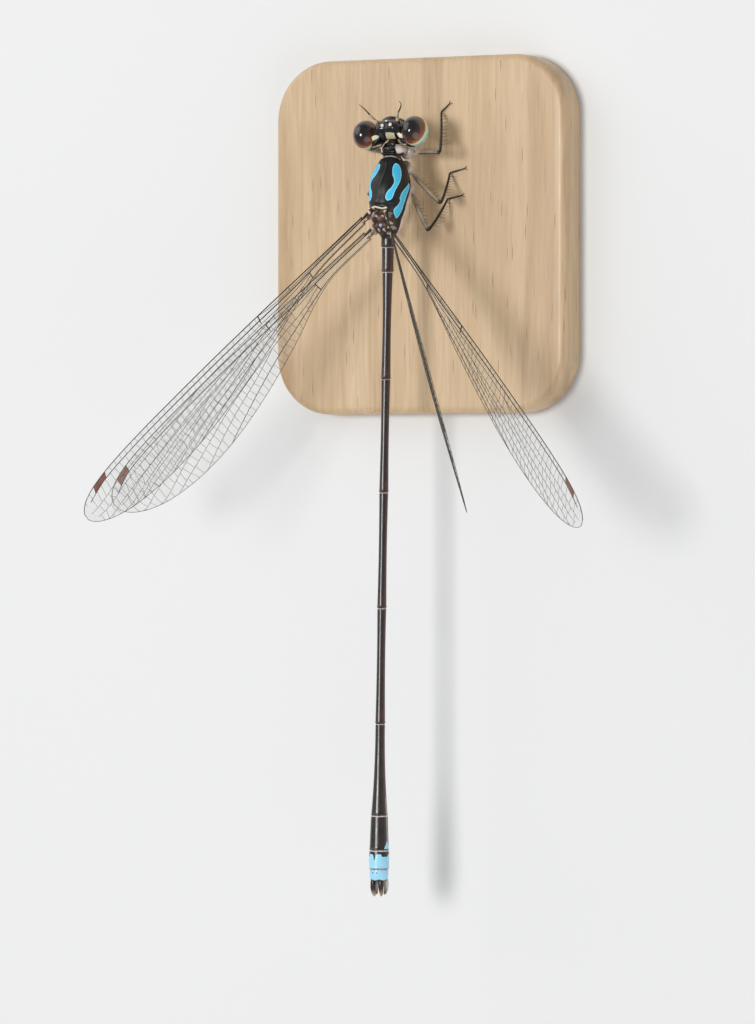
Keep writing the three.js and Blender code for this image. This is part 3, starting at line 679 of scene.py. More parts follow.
def raiseKnobs(s, degrees, x, z, tint):
    # the small plates between the wing bases, as domes with wandering edges
    for side, station, wide, long, high, colour in wingBaseKnobs:
        for way in ((1, -1) if side else (1,)):
            warpX = 0.03 * np.sin(17 * s + 9 * station) + 0.02 * np.sin(31 * s + 5 * x)
            warpS = 0.03 * np.sin(15 * x + 7 * station) + 0.02 * np.sin(29 * x)
            reach = ((x - way * side + warpX) / wide) ** 2 + ((s - station + warpS) / long) ** 2
            dome = np.clip(1 - reach, 0, 1) * (np.abs(degrees) < 88)
            z = z + high * dome ** 0.7
            tint = mixed(tint, colour, ease(0.12, 0.5, dome) * 0.9)
    return z, tint


def roundedEnd(rim, way):
    # shrinking rings that close the skin with a low dome, forwards or backwards
    centre = rim.mean(axis=0)
    rings = [rim]
    for step in (0.25, 0.5, 0.75, 0.97):
        angle = step * math.pi / 2
        rise = np.array([0, way * raised["endCap"] * math.sin(angle), 0])
        rings.append(centre + (rim - centre) * math.cos(angle) + rise)
    columns = len(rim)
    faces = loopFaces(len(rings), columns)
    last = (len(rings) - 1) * columns
    faces.append(tuple(range(last, last + columns)))
    if way < 0:
        faces = [tuple(reversed(face)) for face in faces]
    return np.concatenate(rings), faces, centre[1]


def addBodySkin():
    columns = cuticle["columns"]
    stations = bodyStations()
    even = np.linspace(-math.pi, math.pi, columns, endpoint=False)
    turns = even - 0.36 * np.sin(even)  # closer together on the back
    s, t = np.meshgrid(stations, turns, indexing="ij")
    degrees = np.degrees(t)
    rows = []
    for station in stations:
        if station < 3.24:
            half, high, low = along(bodyRows, station)
        else:
            half = tailHalf(station)
            high, low = half, -half
        square = np.interp(station, *zip(*cuticle["squareness"]))
        rows.append([half, high, low, square, *tailLine(station)])
    a, top, bottom, power, sway, lift = (np.array(rows)[:, k:k + 1] for k in range(6))
    b, middle = (top - bottom) / 2, (top + bottom) / 2
    cosine, sine = np.cos(t), np.sin(t)
    x = -a * np.sign(sine) * np.abs(sine) ** power
    z = b * np.sign(cosine) * np.abs(cosine) ** power
    outX, outZ = x / a ** 2, z / b ** 2
    length = np.maximum(np.hypot(outX, outZ), 1e-9)
    arc = np.abs(t - np.radians(thoraxMidline(s))) * (a + b) / 2
    relief = bodyRelief(s, degrees, arc)
    x = x + outX / length * relief + sway
    z = z + outZ / length * relief + middle + lift
    z, tint = raiseKnobs(s, degrees, x, z, bodyTint(s, degrees))
    blue, cream, pale = bodyMarks(s, degrees)
    verts = np.stack([x, s, z], axis=-1).reshape(-1, 3)
    shape = Shape()
    shape.add(verts, loopFaces(len(stations), columns), tint=tint.reshape(-1, 3), blue=blue.ravel(),
              cream=cream.ravel(), pale=pale.ravel(), station=s.ravel())
    for rim, way in ((verts[:columns], -1), (verts[-columns:], 1)):
        endVerts, endFaces, station = roundedEnd(rim, way)
        shape.add(endVerts, endFaces, tint=np.array(cuticle["black"]), blue=outside, cream=outside,
                  pale=outside, station=station)
    piece = shape.build("bodySkin", skinMaterial("bodyCuticle", coatRoughness=0.25), "cuticle_black")
    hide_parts("prothorax", "thorax", *["abdomen_%d" % n for n in range(1, 11)])
    return piece


head = {"station": -3.66, "height": -0.35, "yaw": 3.0, "voxel": 0.03, "smooth": 5, "rearSlope": 0.42}
capsuleRows = [  # side, front, back, top, bottom
    [0, -0.92, 0.4, 0.74, -0.95], [0.55, -0.86, 0.46, 0.8, -0.95], [0.9, -0.6, 0.78, 0.66, -0.9],
    [1.25, -0.1, 1.0, 0.36, -0.72], [1.55, 0.35, 1.06, 0.12, -0.5],
]
facePlates = [  # side, along, up, radii; each side of the head gets one
    (0, -0.74, -0.12, 0.7, 0.42, 0.34), (0, -0.8, -0.64, 0.62, 0.38, 0.3),
    (0.52, -0.62, -0.7, 0.26, 0.34, 0.36), (0, -0.25, -1.0, 0.55, 0.6, 0.28),
    (0.7, -0.66, 0.3, 0.22, 0.22, 0.19), (0, -0.62, 0.6, 0.2, 0.2, 0.16),
    (0.3, -0.46, 0.64, 0.2, 0.17, 0.15), (0, -0.2, 0.72, 0.5, 0.1, 0.06),
    (0.95, 0.2, 0.46, 0.34, 0.2, 0.12),
]
# the three simple eyes: side, along, up, radius
ocelli = [(-0.06, -0.76, 0.64, 0.09), (0.2, -0.5, 0.74, 0.12), (-0.4, -0.5, 0.72, 0.13)]
eye = {
    "across": 0.86, "along": 1.0, "tall": 1.1, "out": 1.83, "height": -0.05,
    "cap": (0, -0.35, 0.94),  # which way the dark cap faces
    "shades": [  # from the underside up to the middle of the cap
        (0.0, (0.25, 0.5, 0.44)), (0.4, (0.36, 0.7, 0.58)), (0.485, (0.55, 0.84, 0.68)),
        (0.525, (0.85, 0.88, 0.66)), (0.55, (0.9, 0.82, 0.55)), (0.567, (0.5, 0.19, 0.045)),
        (0.66, (0.2, 0.05, 0.014)), (0.8, (0.06, 0.014, 0.006)), (0.93, (0.005, 0.003, 0.003)),
    ],
}
headMark = {
    "spots": [(1.06, 0.3, 0.42, 0.14, 20), (-1.0, 0.26, 0.27, 0.14, -26)],  # side, along, two radii, turn
    "bar": (-0.14, 0.2, 0.34, 0.17),  # side, along, half width, half length
    "mouth": (-0.66, 0.16, 0.5),  # height, half height, half width
}


def headPoint(side, forward, up):
    # head coordinates to body coordinates, with the head's small turn
    turn = math.radians(head["yaw"])
    x = side * math.cos(turn) - forward * math.sin(turn)
    y = side * math.sin(turn) + forward * math.cos(turn)
    return np.array([x, y + head["station"], up + head["height"]])


def ball(centre, radii, columns=48, rings=32):
    verts, faces = [], []
    for i in range(1, rings):
        polar = math.pi * i / rings
        for j in range(columns):
            turn = 2 * math.pi * j / columns
            unit = (math.sin(polar) * math.cos(turn), math.sin(polar) * math.sin(turn), math.cos(polar))
            verts.append([centre[k] + radii[k] * unit[k] for k in range(3)])
    faces = [tuple(reversed(face)) for face in loopFaces(rings - 1, columns)]
    top = len(verts)
    verts += [[centre[0], centre[1], centre[2] + radii[2]], [centre[0], centre[1], centre[2] - radii[2]]]
    low = (rings - 2) * columns
    for j in range(columns):
        faces.append((top, j, (j + 1) % columns))
        faces.append((top + 1, low + (j + 1) % columns, low + j))
    return np.array(verts), faces


def headCapsule():
    # rings of the head's outline, from one side to the other
    columns, rings = 56, []
    sides = np.linspace(-1.62, 1.62, 41)
    for side in sides:
        front, back, top, bottom = along(capsuleRows, min(abs(side), 1.55))
        for k in range(columns):
            turn = 2 * math.pi * k / columns
            c, s = math.cos(turn), math.sin(turn)
            forward = (front + back) / 2 + (back - front) / 2 * math.copysign(abs(c) ** 0.8, c)
            up = (top + bottom) / 2 + (top - bottom) / 2 * math.copysign(abs(s) ** 0.8, s)
            rings.append([side, forward, up])
    faces = loopFaces(len(sides), columns)
    faces.append(tuple(range(columns - 1, -1, -1)))
    last = (len(sides) - 1) * columns
    faces.append(tuple(range(last, last + columns)))
    return np.array(rings), faces


def fusedMesh(parts, voxel, smooth):
    # joins closed parts into one skin: voxel remesh at millimetre scale, then smoothed
    whole = Shape()
    for verts, faces in parts:
        whole.add(verts, faces)
    mesh = bpy.data.meshes.new("draft")
    mesh.from_pydata(np.concatenate(whole.verts).tolist(), [], whole.faces)
    draft = bpy.data.objects.new("draft", mesh)
    bpy.context.scene.collection.objects.link(draft)
    remesh = draft.modifiers.new("skin", "REMESH")
    remesh.mode = "VOXEL"
    remesh.voxel_size = voxel
    soften = draft.modifiers.new("soften", "SMOOTH")
    soften.factor = 0.5
    soften.iterations = smooth
    bpy.context.view_layer.update()
    graph = bpy.context.evaluated_depsgraph_get()
    done = bpy.data.meshes.new_from_object(draft.evaluated_get(graph))
    verts = np.empty(len(done.vertices) * 3)
    done.vertices.foreach_get("co", verts)
    faces = [tuple(face.vertices) for face in done.polygons]
    bpy.data.objects.remove(draft, do_unlink=True)
    bpy.data.meshes.remove(mesh)
    bpy.data.meshes.remove(done)
    return verts.reshape(-1, 3), faces


def headMarks(points):
    # points in head coordinates; a mark is an oval on the top or the rear of the head
    x, y, z = points.T
    top = z > -0.2

    def oval(side, forward, wide, long, turn):
        c, s = math.cos(math.radians(turn)), math.sin(math.radians(turn))
        u = (x - side) * c + (y - forward) * s
        v = -(x - side) * s + (y - forward) * c
        return (1 - np.hypot(u / wide, v / long)) * min(wide, long)

    cream = np.maximum(*[oval(*spot) for spot in headMark["spots"]])
    side, forward, wide, long = headMark["bar"]
    slant = x - side - 0.6 * (y - forward)
    bar = np.minimum(wide - np.abs(slant), long + 0.04 * np.cos(4 * x) - np.abs(y - forward))
    cream = np.where(top, np.maximum(cream, bar), outside)
    height, tall, wide = headMark["mouth"]
    mouth = np.minimum(tall - np.abs(z - height), wide - np.abs(x))
    cream = np.where(y < -0.7, np.maximum(cream, mouth), cream)
    thin = 0.045 - 0.03 * ease(0.7, 1.1, np.abs(x))
    rear = np.minimum(thin - np.abs(y - 0.5 - 0.35 * ease(0.3, 1.2, np.abs(x))), 1.3 - np.abs(x))
    cream = np.where(top, np.maximum(cream, rear), cream)
    cheek = np.minimum(np.abs(x) - 0.9, -0.62 - z)
    return np.full(len(x), outside), cream, cheek


def addHead():
    parts = [headCapsule()]
    for side, forward, up, a, b, c in facePlates:
        for way in ((1, -1) if side else (1,)):
            parts.append(ball((way * side, forward, up), (a, b, c), 28, 18))
    verts, faces = fusedMesh(parts, head["voxel"], head["smooth"])
    x, y, z = verts.T
    slope = ease(-0.3, 0.42, y) * (1 - ease(0.6, 1.05, np.abs(x))) * ease(-0.5, 0.2, z)
    verts[:, 2] -= head["rearSlope"] * slope
    blue, cream, pale = headMarks(verts)
    count = len(verts)
    tint = np.broadcast_to(np.array(cuticle["black"]), (count, 3)).copy()
    sockets = np.hypot(np.abs(verts[:, 0]) - 0.7, verts[:, 1] + 0.72)
    tint = mixed(tint, pinkTint, 0.5 * (1 - ease(0.1, 0.24, sockets)) * (verts[:, 2] > 0.2))
    placed = np.array([headPoint(*v) for v in verts])
    shape = Shape()
    shape.add(placed, faces, tint=tint, blue=blue, cream=cream, pale=pale, station=placed[:, 1])
    piece = shape.build("headSkin", skinMaterial("headCuticle", coat=0.5), "cuticle_black")
    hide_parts("head")
    glass, tree, shader = newMaterial("ocellusGlass", (0.62, 0.5, 0.34), 0.1)
    cloud = texture(tree, "Noise", Scale=9000.0)
    # the ocelli's colour is partly their own pale amber tone and partly a painted highlight: the near-white
    # end stands for bright reflections on them
    toneAndPaintedHighlight = ramp(tree, cloud.outputs["Fac"], [(0.3, (0.7, 0.6, 0.45)), (0.7, (0.93, 0.9, 0.82))])
    join(tree, toneAndPaintedHighlight, shader.inputs["Base Color"])
    join(tree, remap(tree, cloud.outputs["Fac"], 0.3, 0.7, 0.06, 0.16), shader.inputs["Roughness"])
    shape = Shape()
    for side, forward, up, size in ocelli:
        verts, faces = ball((0, 0, 0), (size, size, size * 0.9), 28, 18)
        shape.add(verts + headPoint(side, forward, up), faces)
    shape.build("ocelli", glass, "eye")
    return piece


def eyeMaterial():
    material, tree, shader = newMaterial("compoundEye", (0.09, 0.03, 0.015), 0.16)
    shader.inputs["Coat Weight"].default_value = 0.5
    shader.inputs["Coat Roughness"].default_value = 0.03
    grain = texture(tree, "Noise", Scale=2600.0, Detail=3.0)
    wander = sums(tree, "SUBTRACT", grain.outputs["Fac"], 0.5)
    level = sums(tree, "MULTIPLY_ADD", wander, 0.05, attribute(tree, "capLevel"))
    colour = ramp(tree, remap(tree, level, -1.0, 1.0, smooth=False), eye["shades"])
    facet = texture(tree, "Voronoi", Scale=38000.0, Randomness=0.35)
    dot = ramp(tree, facet.outputs["Distance"], [(0.0, (1.1, 1.1, 1.1)), (0.7, (0.75, 0.75, 0.75))])
    join(tree, blendColour(tree, 1.0, colour, dot, "MULTIPLY"), shader.inputs["Base Color"])
    join(tree, remap(tree, grain.outputs["Fac"], 0.3, 0.7, 0.12, 0.22), shader.inputs["Roughness"])
    addBump(tree, shader, facet.outputs["Distance"], 0.12, 0.00001, invert=True)
    return material


def addEyes():
    material = eyeMaterial()
    cap = np.array(eye["cap"])
    cap = cap / np.linalg.norm(cap)
    for word, way in bothSides:
        verts, faces = ball((0, 0, 0), (1, 1, 1), 96, 64)
        level = verts @ cap
        shaped = verts * np.array([eye["across"], eye["along"], eye["tall"]])
        placed = np.array([headPoint(v[0] + way * eye["out"], v[1], v[2] + eye["height"]) for v in shaped])
        shape = Shape()
        shape.add(placed, faces, capLevel=level)
        piece = shape.build("compoundEye_" + word, material, "eye")
        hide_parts("eye_" + word)


feeler = {
    "socket": (0.72, -0.7, 0.34),
    "root": (0.84, -0.92, 0.5),
    "joint": (1.08, -1.28, 0.78),
    "tip": (1.5, -1.95, 1.45),
    "first": (0.12, 0.1, creamTint),  # radius at both ends and tint of the two thick joints
    "second": (0.085, 0.06, (0.4, 0.32, 0.22)),
    "bulge": [(0.0, 0.5), (0.04, 0.8), (0.12, 1.0), (0.5, 0.95), (0.88, 1.0), (0.96, 0.8), (1.0, 0.45)],
}


def addFeelers(material):
    for word, way in bothSides:
        shape = Shape()
        spots = [feeler[key] for key in ("socket", "root", "joint", "tip")]
        socket, root, joint, tip = [headPoint(way * side, forward, up) for side, forward, up in spots]
        for start, end, key in ((socket, root, "first"), (root, joint, "second")):
            thick, thin, colour = feeler[key]
            points = [start + (end - start) * t for t, bulge in feeler["bulge"]]
            radii = [bulge * (thick + (thin - thick) * t) for t, bulge in feeler["bulge"]]
            verts, faces = tube(points, radii, 14)
            shape.add(verts, faces, tint=np.array(colour))
        bow = np.array([way * 0.12, -0.1, -0.12])
        shares = np.linspace(0, 1, 26)
        points = [joint + (tip - joint) * t + bow * math.sin(math.pi * t) for t in shares]
        radii = [0.04 * (1 - t) + 0.014 + 0.004 * (k % 4 == 0) for k, t in enumerate(shares)]
        verts, faces = tube(points, radii, 10)
        shape.add(verts, faces, tint=np.array(darkTint))
        piece = shape.build("feeler_" + word, material, "cuticle_brown")
        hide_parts("antenna_" + word)


footLevel = -4.39  # the base's top, in body heights
legs = {  # hip, knee, ankle and toe of each leg, in body coordinates
    "front_right": [(-0.7, -2.45, -1.95), (-3.24, -2.35, -1.3), (-1.82, -5.25, -3.9), (-2.35, -5.75, -3.9)],
    "middle_right": [(-0.5, -1.25, -2.1), (-3.14, 1.04, -1.6), (-2.47, -1.14, -3.9), (-3.5, -1.4, -3.9)],
    "hind_right": [(-0.52, 0, -2.25), (-2.19, 2.85, -1.6), (-2.3, 0.6, -3.9), (-3.3, 0.4, -3.9)],
    "front_left": [(0.7, -2.45, -1.95), (2.5, -2.75, -1.85), (1.9, -4.3, -3.9), (2.55, -4.75, -3.9)],
    "middle_left": [(0.5, -1.25, -2.1), (2.35, 0.35, -1.6), (2.4, -0.9, -3.9), (3.2, -1.25, -3.9)],
    "hind_left": [(0.54, 0.05, -2.27), (1.62, 3.05, -1.95), (2.2, 0.9, -3.9), (3.0, 0.65, -3.9)],
}
leg = {
    "coxa": 0.41, "trochanter": 0.23, "thigh": 0.155, "shin": 0.095, "foot": 0.06,  # radii in mm
    "coxaRise": 0.75,  # how far above the hip joint the coxa begins
    "coxaLean": {"front": 0.1, "middle": -0.28, "hind": -0.1},  # and how far behind it
    "trochanterLength": 0.42,
    "thighBow": 0.12,
    "ankleRise": 0.17,
    "footJoints": (0.3, 0.58),  # shares of the foot's length
    "ends": [  # share of a segment's length, share of its radius
        (0, 0.45), (0.02, 0.75), (0.06, 0.98), (0.12, 1.08),
        (0.9, 1.0), (0.95, 1.12), (0.985, 0.9), (1, 0.45),
    ],
    "claw": [  # out, aside, up, radius
        (0.02, 0.02, 0, 0.028), (0.12, 0.07, 0.02, 0.024),
        (0.2, 0.1, -0.01, 0.015), (0.24, 0.11, -0.05, 0.004),
    ],
    "thighBristles": (8, 0.14, 0.42),  # how many in a row, how far out they start, length
    "shinBristles": (9, 0.09, 0.7),
    "bristle": 0.017,  # radius at the root
    "paleTint": (0.74, 0.65, 0.58),
    "hipTint": (0.3, 0.2, 0.16),
    "thighTint": (0.34, 0.27, 0.19),
    "shinTint": (0.16, 0.11, 0.07),
    "darkTint": (0.012, 0.009, 0.008),
}


def coxaPaint(t, turn):
    return mixed(np.tile(leg["paleTint"], (len(t), 1)), leg["hipTint"], 0.6 * hump(t, 0.0, 0.25))


def thighPaint(t, turn):
    base = np.tile(leg["thighTint"], (len(t), 1))
    base = mixed(base, leg["paleTint"], 0.35 * (1 - ease(0.0, 0.35, t)))
    for line in (0.9, -2.2):  # a dark line on either side
        base = mixed(base, leg["darkTint"], 0.85 * hump(np.cos(turn - line), 1.0, 0.12) * ease(0.1, 0.25, t))
    return mixed(base, leg["darkTint"], ease(0.9, 0.96, t))


def shinPaint(t, turn):
    share = 0.7 * hump(np.cos(turn), -1.0, 0.7) * ease(0.08, 0.2, t) * (1 - ease(0.7, 0.95, t))
    return mixed(footPaint(t, turn), leg["shinTint"], share)


def footPaint(t, turn):
    return np.tile(leg["darkTint"], (len(t), 1))


def legSegment(shape, start, end, first, last, paint, sides=16, bow=(0, 0, 0), steps=14):
    start, end = np.array(start, float), np.array(end, float)
    shares = [0.0, 0.02, 0.06] + list(np.linspace(0.12, 0.9, steps)) + [0.95, 0.985, 1.0]
    ends = np.interp(shares, *zip(*leg["ends"]))
    points = [start + (end - start) * t + np.array(bow) * math.sin(math.pi * t) for t in shares]
    radii = [e * (first + (last - first) * t) for e, t in zip(ends, shares)]
    verts, faces = tube(points, radii, sides)
    t = np.repeat(shares, sides)
    turn = np.tile(np.arange(sides) / sides * 2 * math.pi, len(shares))
    shape.add(verts, faces, tint=paint(t, turn))


def bristle(shape, root, way, length, thick, tint):
    root, way = np.array(root, float), np.array(way, float)
    way = way / np.linalg.norm(way)
    drop = np.array([0, 0, -0.1 * length])
    points = [root + way * length * t + drop * t * t for t in (0, 0.3, 0.65, 1.0)]
    verts, faces = tube(points, [thick, thick * 0.8, thick * 0.5, thick * 0.12], 5)
    shape.add(verts, faces, tint=np.array(tint))


def addClaws(shape, ankle, toe):
    way = (toe - ankle) / np.linalg.norm(toe - ankle)
    aside = np.cross(way, (0, 0, 1))
    for hook in (1, -1):
        points, radii = [], []
        for out, apart, up, radius in leg["claw"]:
            points.append(toe + way * out + aside * hook * apart + np.array([0, 0, up]))
            radii.append(radius)
        verts, faces = tube(points, radii, 7)
        shape.add(verts, faces, tint=np.array(leg["darkTint"]))


def addBristles(hairs, start, end, row, bow):
    # two rows under a limb
    count, out, long = row
    line = (end - start) / np.linalg.norm(end - start)
    under = np.array([0, 0, -1.0]) - line * line.dot((0, 0, -1.0))
    under /= np.linalg.norm(under)
    across = np.cross(line, under)
    for k in range(count):
        share = 0.14 + 0.8 * (k + 0.5) / count + scatter.uniform(-0.012, 0.012)
        root = start + (end - start) * share
        root = root + np.array((0, 0, bow)) * math.sin(math.pi * share)
        for side in (1, -1):
            lean = under * 0.62 + across * side * 0.72
            way = lean + line * (0.42 + scatter.uniform(-0.06, 0.06))
            size = long * (1 - 0.35 * share) * scatter.uniform(0.85, 1.1)
            bristle(hairs, root + lean * out * 0.75, way, size, leg["bristle"], leg["darkTint"])


def addLegs(material):
    for name, spots in legs.items():
        hip, knee, ankle, toe = (np.array(spot, float) for spot in spots)
        ankle = ankle + np.array([0, 0, footLevel + leg["ankleRise"] - ankle[2]])
        toe = toe + np.array([0, 0, footLevel + leg["foot"] - toe[2]])
        top = hip + np.array([0, leg["coxaLean"][name.split("_")[0]], leg["coxaRise"]])
        swell = hip + (knee - hip) / np.linalg.norm(knee - hip) * leg["trochanterLength"]
        outward = 1 if knee[0] > 0 else -1
        coxa, trochanter, thigh, shin = leg["coxa"], leg["trochanter"], leg["thigh"], leg["shin"]
        thighBow, shinBow = (0, 0, leg["thighBow"]), (outward * 0.05, 0.06, 0)
        shape, hairs = Shape(), Shape()
        legSegment(shape, top, hip, coxa, coxa * 0.72, coxaPaint, 20)
        legSegment(shape, hip, swell, trochanter, trochanter * 0.82, coxaPaint, 18, steps=6)
        legSegment(shape, swell, knee, thigh * 1.05, thigh * 0.82, thighPaint, 18, thighBow, 30)
        legSegment(shape, knee, ankle, shin, shin * 0.72, shinPaint, 16, shinBow, 30)
        bends = [ankle] + [ankle + (toe - ankle) * share for share in leg["footJoints"]] + [toe]
        for k in range(3):
            first, last = leg["foot"] * (1.1 - 0.12 * k), leg["foot"] * (1 - 0.14 * k)
            legSegment(shape, bends[k], bends[k + 1], first, last, footPaint, 12, (0, 0, 0.01), 8)
        addClaws(shape, ankle, toe)
        addBristles(hairs, swell, knee, leg["thighBristles"], leg["thighBow"])
        addBristles(hairs, knee, ankle, leg["shinBristles"], 0.0)
        piece = shape.build("leg_" + name, material, "leg")
        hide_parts("leg_%s_upper" % name, "leg_%s_lower" % name)
        hairs.build("legBristles_" + name, material, "leg")


setae = {
    "length": (0.14, 0.3),
    "thick": 0.006,
    "tint": (0.16, 0.12, 0.09),
    "thorax": (210, -1.9, 1.2, 1.6),  # how many, first and last station, greatest height
    "head": (120, -4.6, -3.2, 0.5),
}


def addSetae(name, skin, count, first, last, highest, material):
    # short fine hairs on the hard skin between two stations, leaning back
    mesh = skin.data
    spots = np.empty(len(mesh.vertices) * 3)
    ways = np.empty(len(mesh.vertices) * 3)
    mesh.vertices.foreach_get("co", spots)
    mesh.vertices.foreach_get("normal", ways)
    spots = spots.reshape(-1, 3) / mm - np.array(bodyOrigin)
    ways = ways.reshape(-1, 3)
    able = np.nonzero((spots[:, 1] > first) & (spots[:, 1] < last) & (spots[:, 2] < highest))[0]
    shape = Shape()
    for k in scatter.choice(able, count, replace=False):
        way = ways[k] + np.array([0, 0.35, 0]) + scatter.uniform(-0.2, 0.2, 3)
        size = scatter.uniform(*setae["length"])
        bristle(shape, spots[k] - ways[k] * 0.02, way, size, setae["thick"], setae["tint"])
    shape.build(name, material, "leg")


wingRows = [  # share of length, chord, how far the leading edge is set back
    [0, 0.7, 0], [0.14, 0.8, -0.04], [0.22, 1.3, -0.08], [0.35, 2.6, -0.14],
    [0.5, 3.8, -0.16], [0.65, 4.55, -0.1], [0.78, 4.65, 0.02], [0.88, 4.15, 0.25],
    [0.94, 3.3, 0.58], [0.975, 2.3, 1.0], [0.992, 1.4, 1.42], [1, 0.62, 1.8],
]
wings = {  # side, length, root in body coordinates, sweep, lift and roll in degrees
    "fore_left": (1, 27.1, (0.96, 2, 1.22), 46.4, 43, 34),
    "fore_right": (-1, 27.1, (-0.66, 2, 1.3), 48.9, 49.5, 21),
    "hind_left": (1, 25.4, (0.9, 3, 0.7), 47.9, 12.5, 34),
    "hind_right": (-1, 25.4, (-0.6, 3, 0.7), 45, 18.5, 26),
}
wingForm = {
    "start": 0.3, "front": 0.35,  # from the root to the first point, outwards and forwards
    "camber": 0.22, "pleat": 0.045, "half": 0.004,  # arch, folds and half the thickness
    "steps": (190, 26),  # along and across
}
vein = {
    "edge": 0.03, "main": 0.036, "branch": 0.018, "cross": 0.0115,  # radii in mm
    "cell": 0.52,  # a cell's usual length in mm
    "node": 0.36, "arch": 0.19, "mark": (0.9, 0.945),  # shares of the wing's length
    "markTint": (0.24, 0.1, 0.06),
}
veinRows = {  # share of the wing's length, share of its chord
    "radius": [[0, 0.3], [0.2, 0.25], [0.36, 0.14], [0.6, 0.09], [0.9, 0.11], [0.97, 0.2]],
    "secondRadial": [[0.19, 0.34], [0.24, 0.36], [0.36, 0.24], [0.6, 0.2], [0.88, 0.33], [0.985, 0.55]],
    "firstFork": [[0.6, 0.2], [0.66, 0.3], [0.78, 0.38], [0.88, 0.5], [0.975, 0.78]],
    "thirdRadial": [[0.3, 0.3], [0.36, 0.36], [0.6, 0.38], [0.8, 0.56], [0.9, 0.74], [0.96, 1.0]],
    "secondFork": [[0.44, 0.37], [0.52, 0.47], [0.65, 0.5], [0.8, 0.7], [0.9, 0.96], [0.915, 1.0]],
    "media": [[0.19, 0.52], [0.24, 0.62], [0.36, 0.52], [0.6, 0.6], [0.8, 0.86], [0.86, 1.0]],
    "thirdFork": [[0.4, 0.54], [0.48, 0.64], [0.6, 0.74], [0.7, 0.88], [0.76, 1.0]],
    "cubitus": [[0, 0.87], [0.2, 0.83], [0.36, 0.75], [0.5, 0.82], [0.62, 0.94], [0.66, 1.0]],
}
cellRows = [  # between which two long veins crossveins stand, and from where to where
    ("front", "radius", 0.36, 0.895), ("front", "radius", 0.95, 0.985),
    ("radius", "secondRadial", 0.36, 0.965), ("secondRadial", "firstFork", 0.64, 0.972),
    ("firstFork", "thirdRadial", 0.63, 0.955), ("secondRadial", "thirdRadial", 0.34, 0.62),
    ("thirdRadial", "secondFork", 0.48, 0.91), ("secondFork", "media", 0.46, 0.855),
    ("thirdRadial", "media", 0.28, 0.45), ("media", "thirdFork", 0.42, 0.755),
    ("thirdFork", "cubitus", 0.42, 0.655), ("media", "cubitus", 0.22, 0.41),
    ("cubitus", "rear", 0.2, 0.64), ("thirdFork", "rear", 0.66, 0.755),
    ("media", "rear", 0.76, 0.855), ("secondFork", "rear", 0.86, 0.91),
    ("thirdRadial", "rear", 0.915, 0.955), ("firstFork", "rear", 0.956, 0.974),
]


def wingFrame(wing):
    side, _, root, sweep, lift, roll = wing
    s, e, r = (math.radians(value) for value in (sweep, lift, roll))
    out = np.array([side * math.sin(s) * math.cos(e), math.cos(s), math.sin(s) * math.sin(e)])
    flat = np.array([-side * math.cos(s) * math.cos(e), math.sin(s), -math.cos(s) * math.sin(e)])
    above = np.array([-side * math.sin(e), 0, math.cos(e)])
    back = flat * math.cos(r) - above * math.sin(r)
    up = above * math.cos(r) + flat * math.sin(r)
    return np.array(root, float), out, back, up


def wingPoint(wing, share, chordShare, rise=0.0):
    root, out, back, up = wing["frame"]
    chord, setBack = along(wingRows, share)
    camber = wingForm["camber"] * math.sin(math.pi * share) * 4 * chordShare * (1 - chordShare)
    pleat = wingForm["pleat"] * math.cos(chordShare * 19) * math.exp(-3.2 * chordShare) * (1 - share)
    reach = wingForm["start"] + share * wing["length"]
    behind = setBack + chordShare * chord - wingForm["front"]
    return root + out * reach + back * behind + up * (camber + pleat + rise)


def veinShare(name, share):
    # a long vein's place across the wing; front and rear are the wing's edges
    if name in ("front", "rear"):
        return float(name == "rear")
    return along(veinRows[name], share)[0]


def sheetFaces(rows, columns, flip):
    # a thin closed sheet: its upper grid, its lower grid and the rim between them
    count = rows * columns
    faces = []
    for i in range(rows - 1):
        for j in range(columns - 1):
            a = i * columns + j
            quad = (a, a + 1, a + columns + 1, a + columns)
            faces.append(quad)
            faces.append(tuple(k + count for k in reversed(quad)))
    last = (rows - 1) * columns
    rim = list(range(columns - 1)) + list(range(columns - 1, last, columns))
    rim += list(range(last + columns - 1, last, -1)) + list(range(last, 0, -columns))
    for a, b in zip(rim, rim[1:] + rim[:1]):
        faces.append((b, a, a + count, b + count))
    return [tuple(reversed(face)) for face in faces] if flip else faces


def addMembrane(name, wing, material):
    long, wide = wingForm["steps"]
    top, low = [], []
    for i in range(long + 1):
        share = 1 - (1 - i / long) ** 1.15  # closer together towards the tip
        for j in range(wide + 1):
            spot = 0.5 - 0.5 * math.cos(math.pi * j / wide)
            top.append(wingPoint(wing, share, spot, wingForm["half"]))
            low.append(wingPoint(wing, share, spot, -wingForm["half"]))
    shape = Shape()
    shape.add(np.array(top + low), sheetFaces(long + 1, wide + 1, wing["side"] > 0))
    piece = shape.build("membrane_" + name, material, "wing_membrane")
    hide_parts("wing_" + name)


def veinTube(shape, points, radii, sides=6):
    verts, faces = tube(points, radii, sides)
    shape.add(verts, faces)


def crossVeins(shape, wing, upper, lower, start, end):
    # short veins between two long ones, so that the cells come out four-sided
    share = start + vein["cell"] * 0.6 / wing["length"]
    while share < end:
        lean = scatter.uniform(-0.15, 0.15) / wing["length"]
        high, low = veinShare(upper, share), veinShare(lower, share)
        chord = along(wingRows, share)[0]
        if (low - high) * chord > 0.09:
            pieces = 2 if (low - high) * chord < 0.9 else 4
            steps = np.linspace(0, 1, pieces + 1)
            points = [wingPoint(wing, share + lean * (t - 0.5), high + (low - high) * t) for t in steps]
            veinTube(shape, points, [vein["cross"]] * len(points), 5)
        share += vein["cell"] * scatter.uniform(0.86, 1.14) / wing["length"]


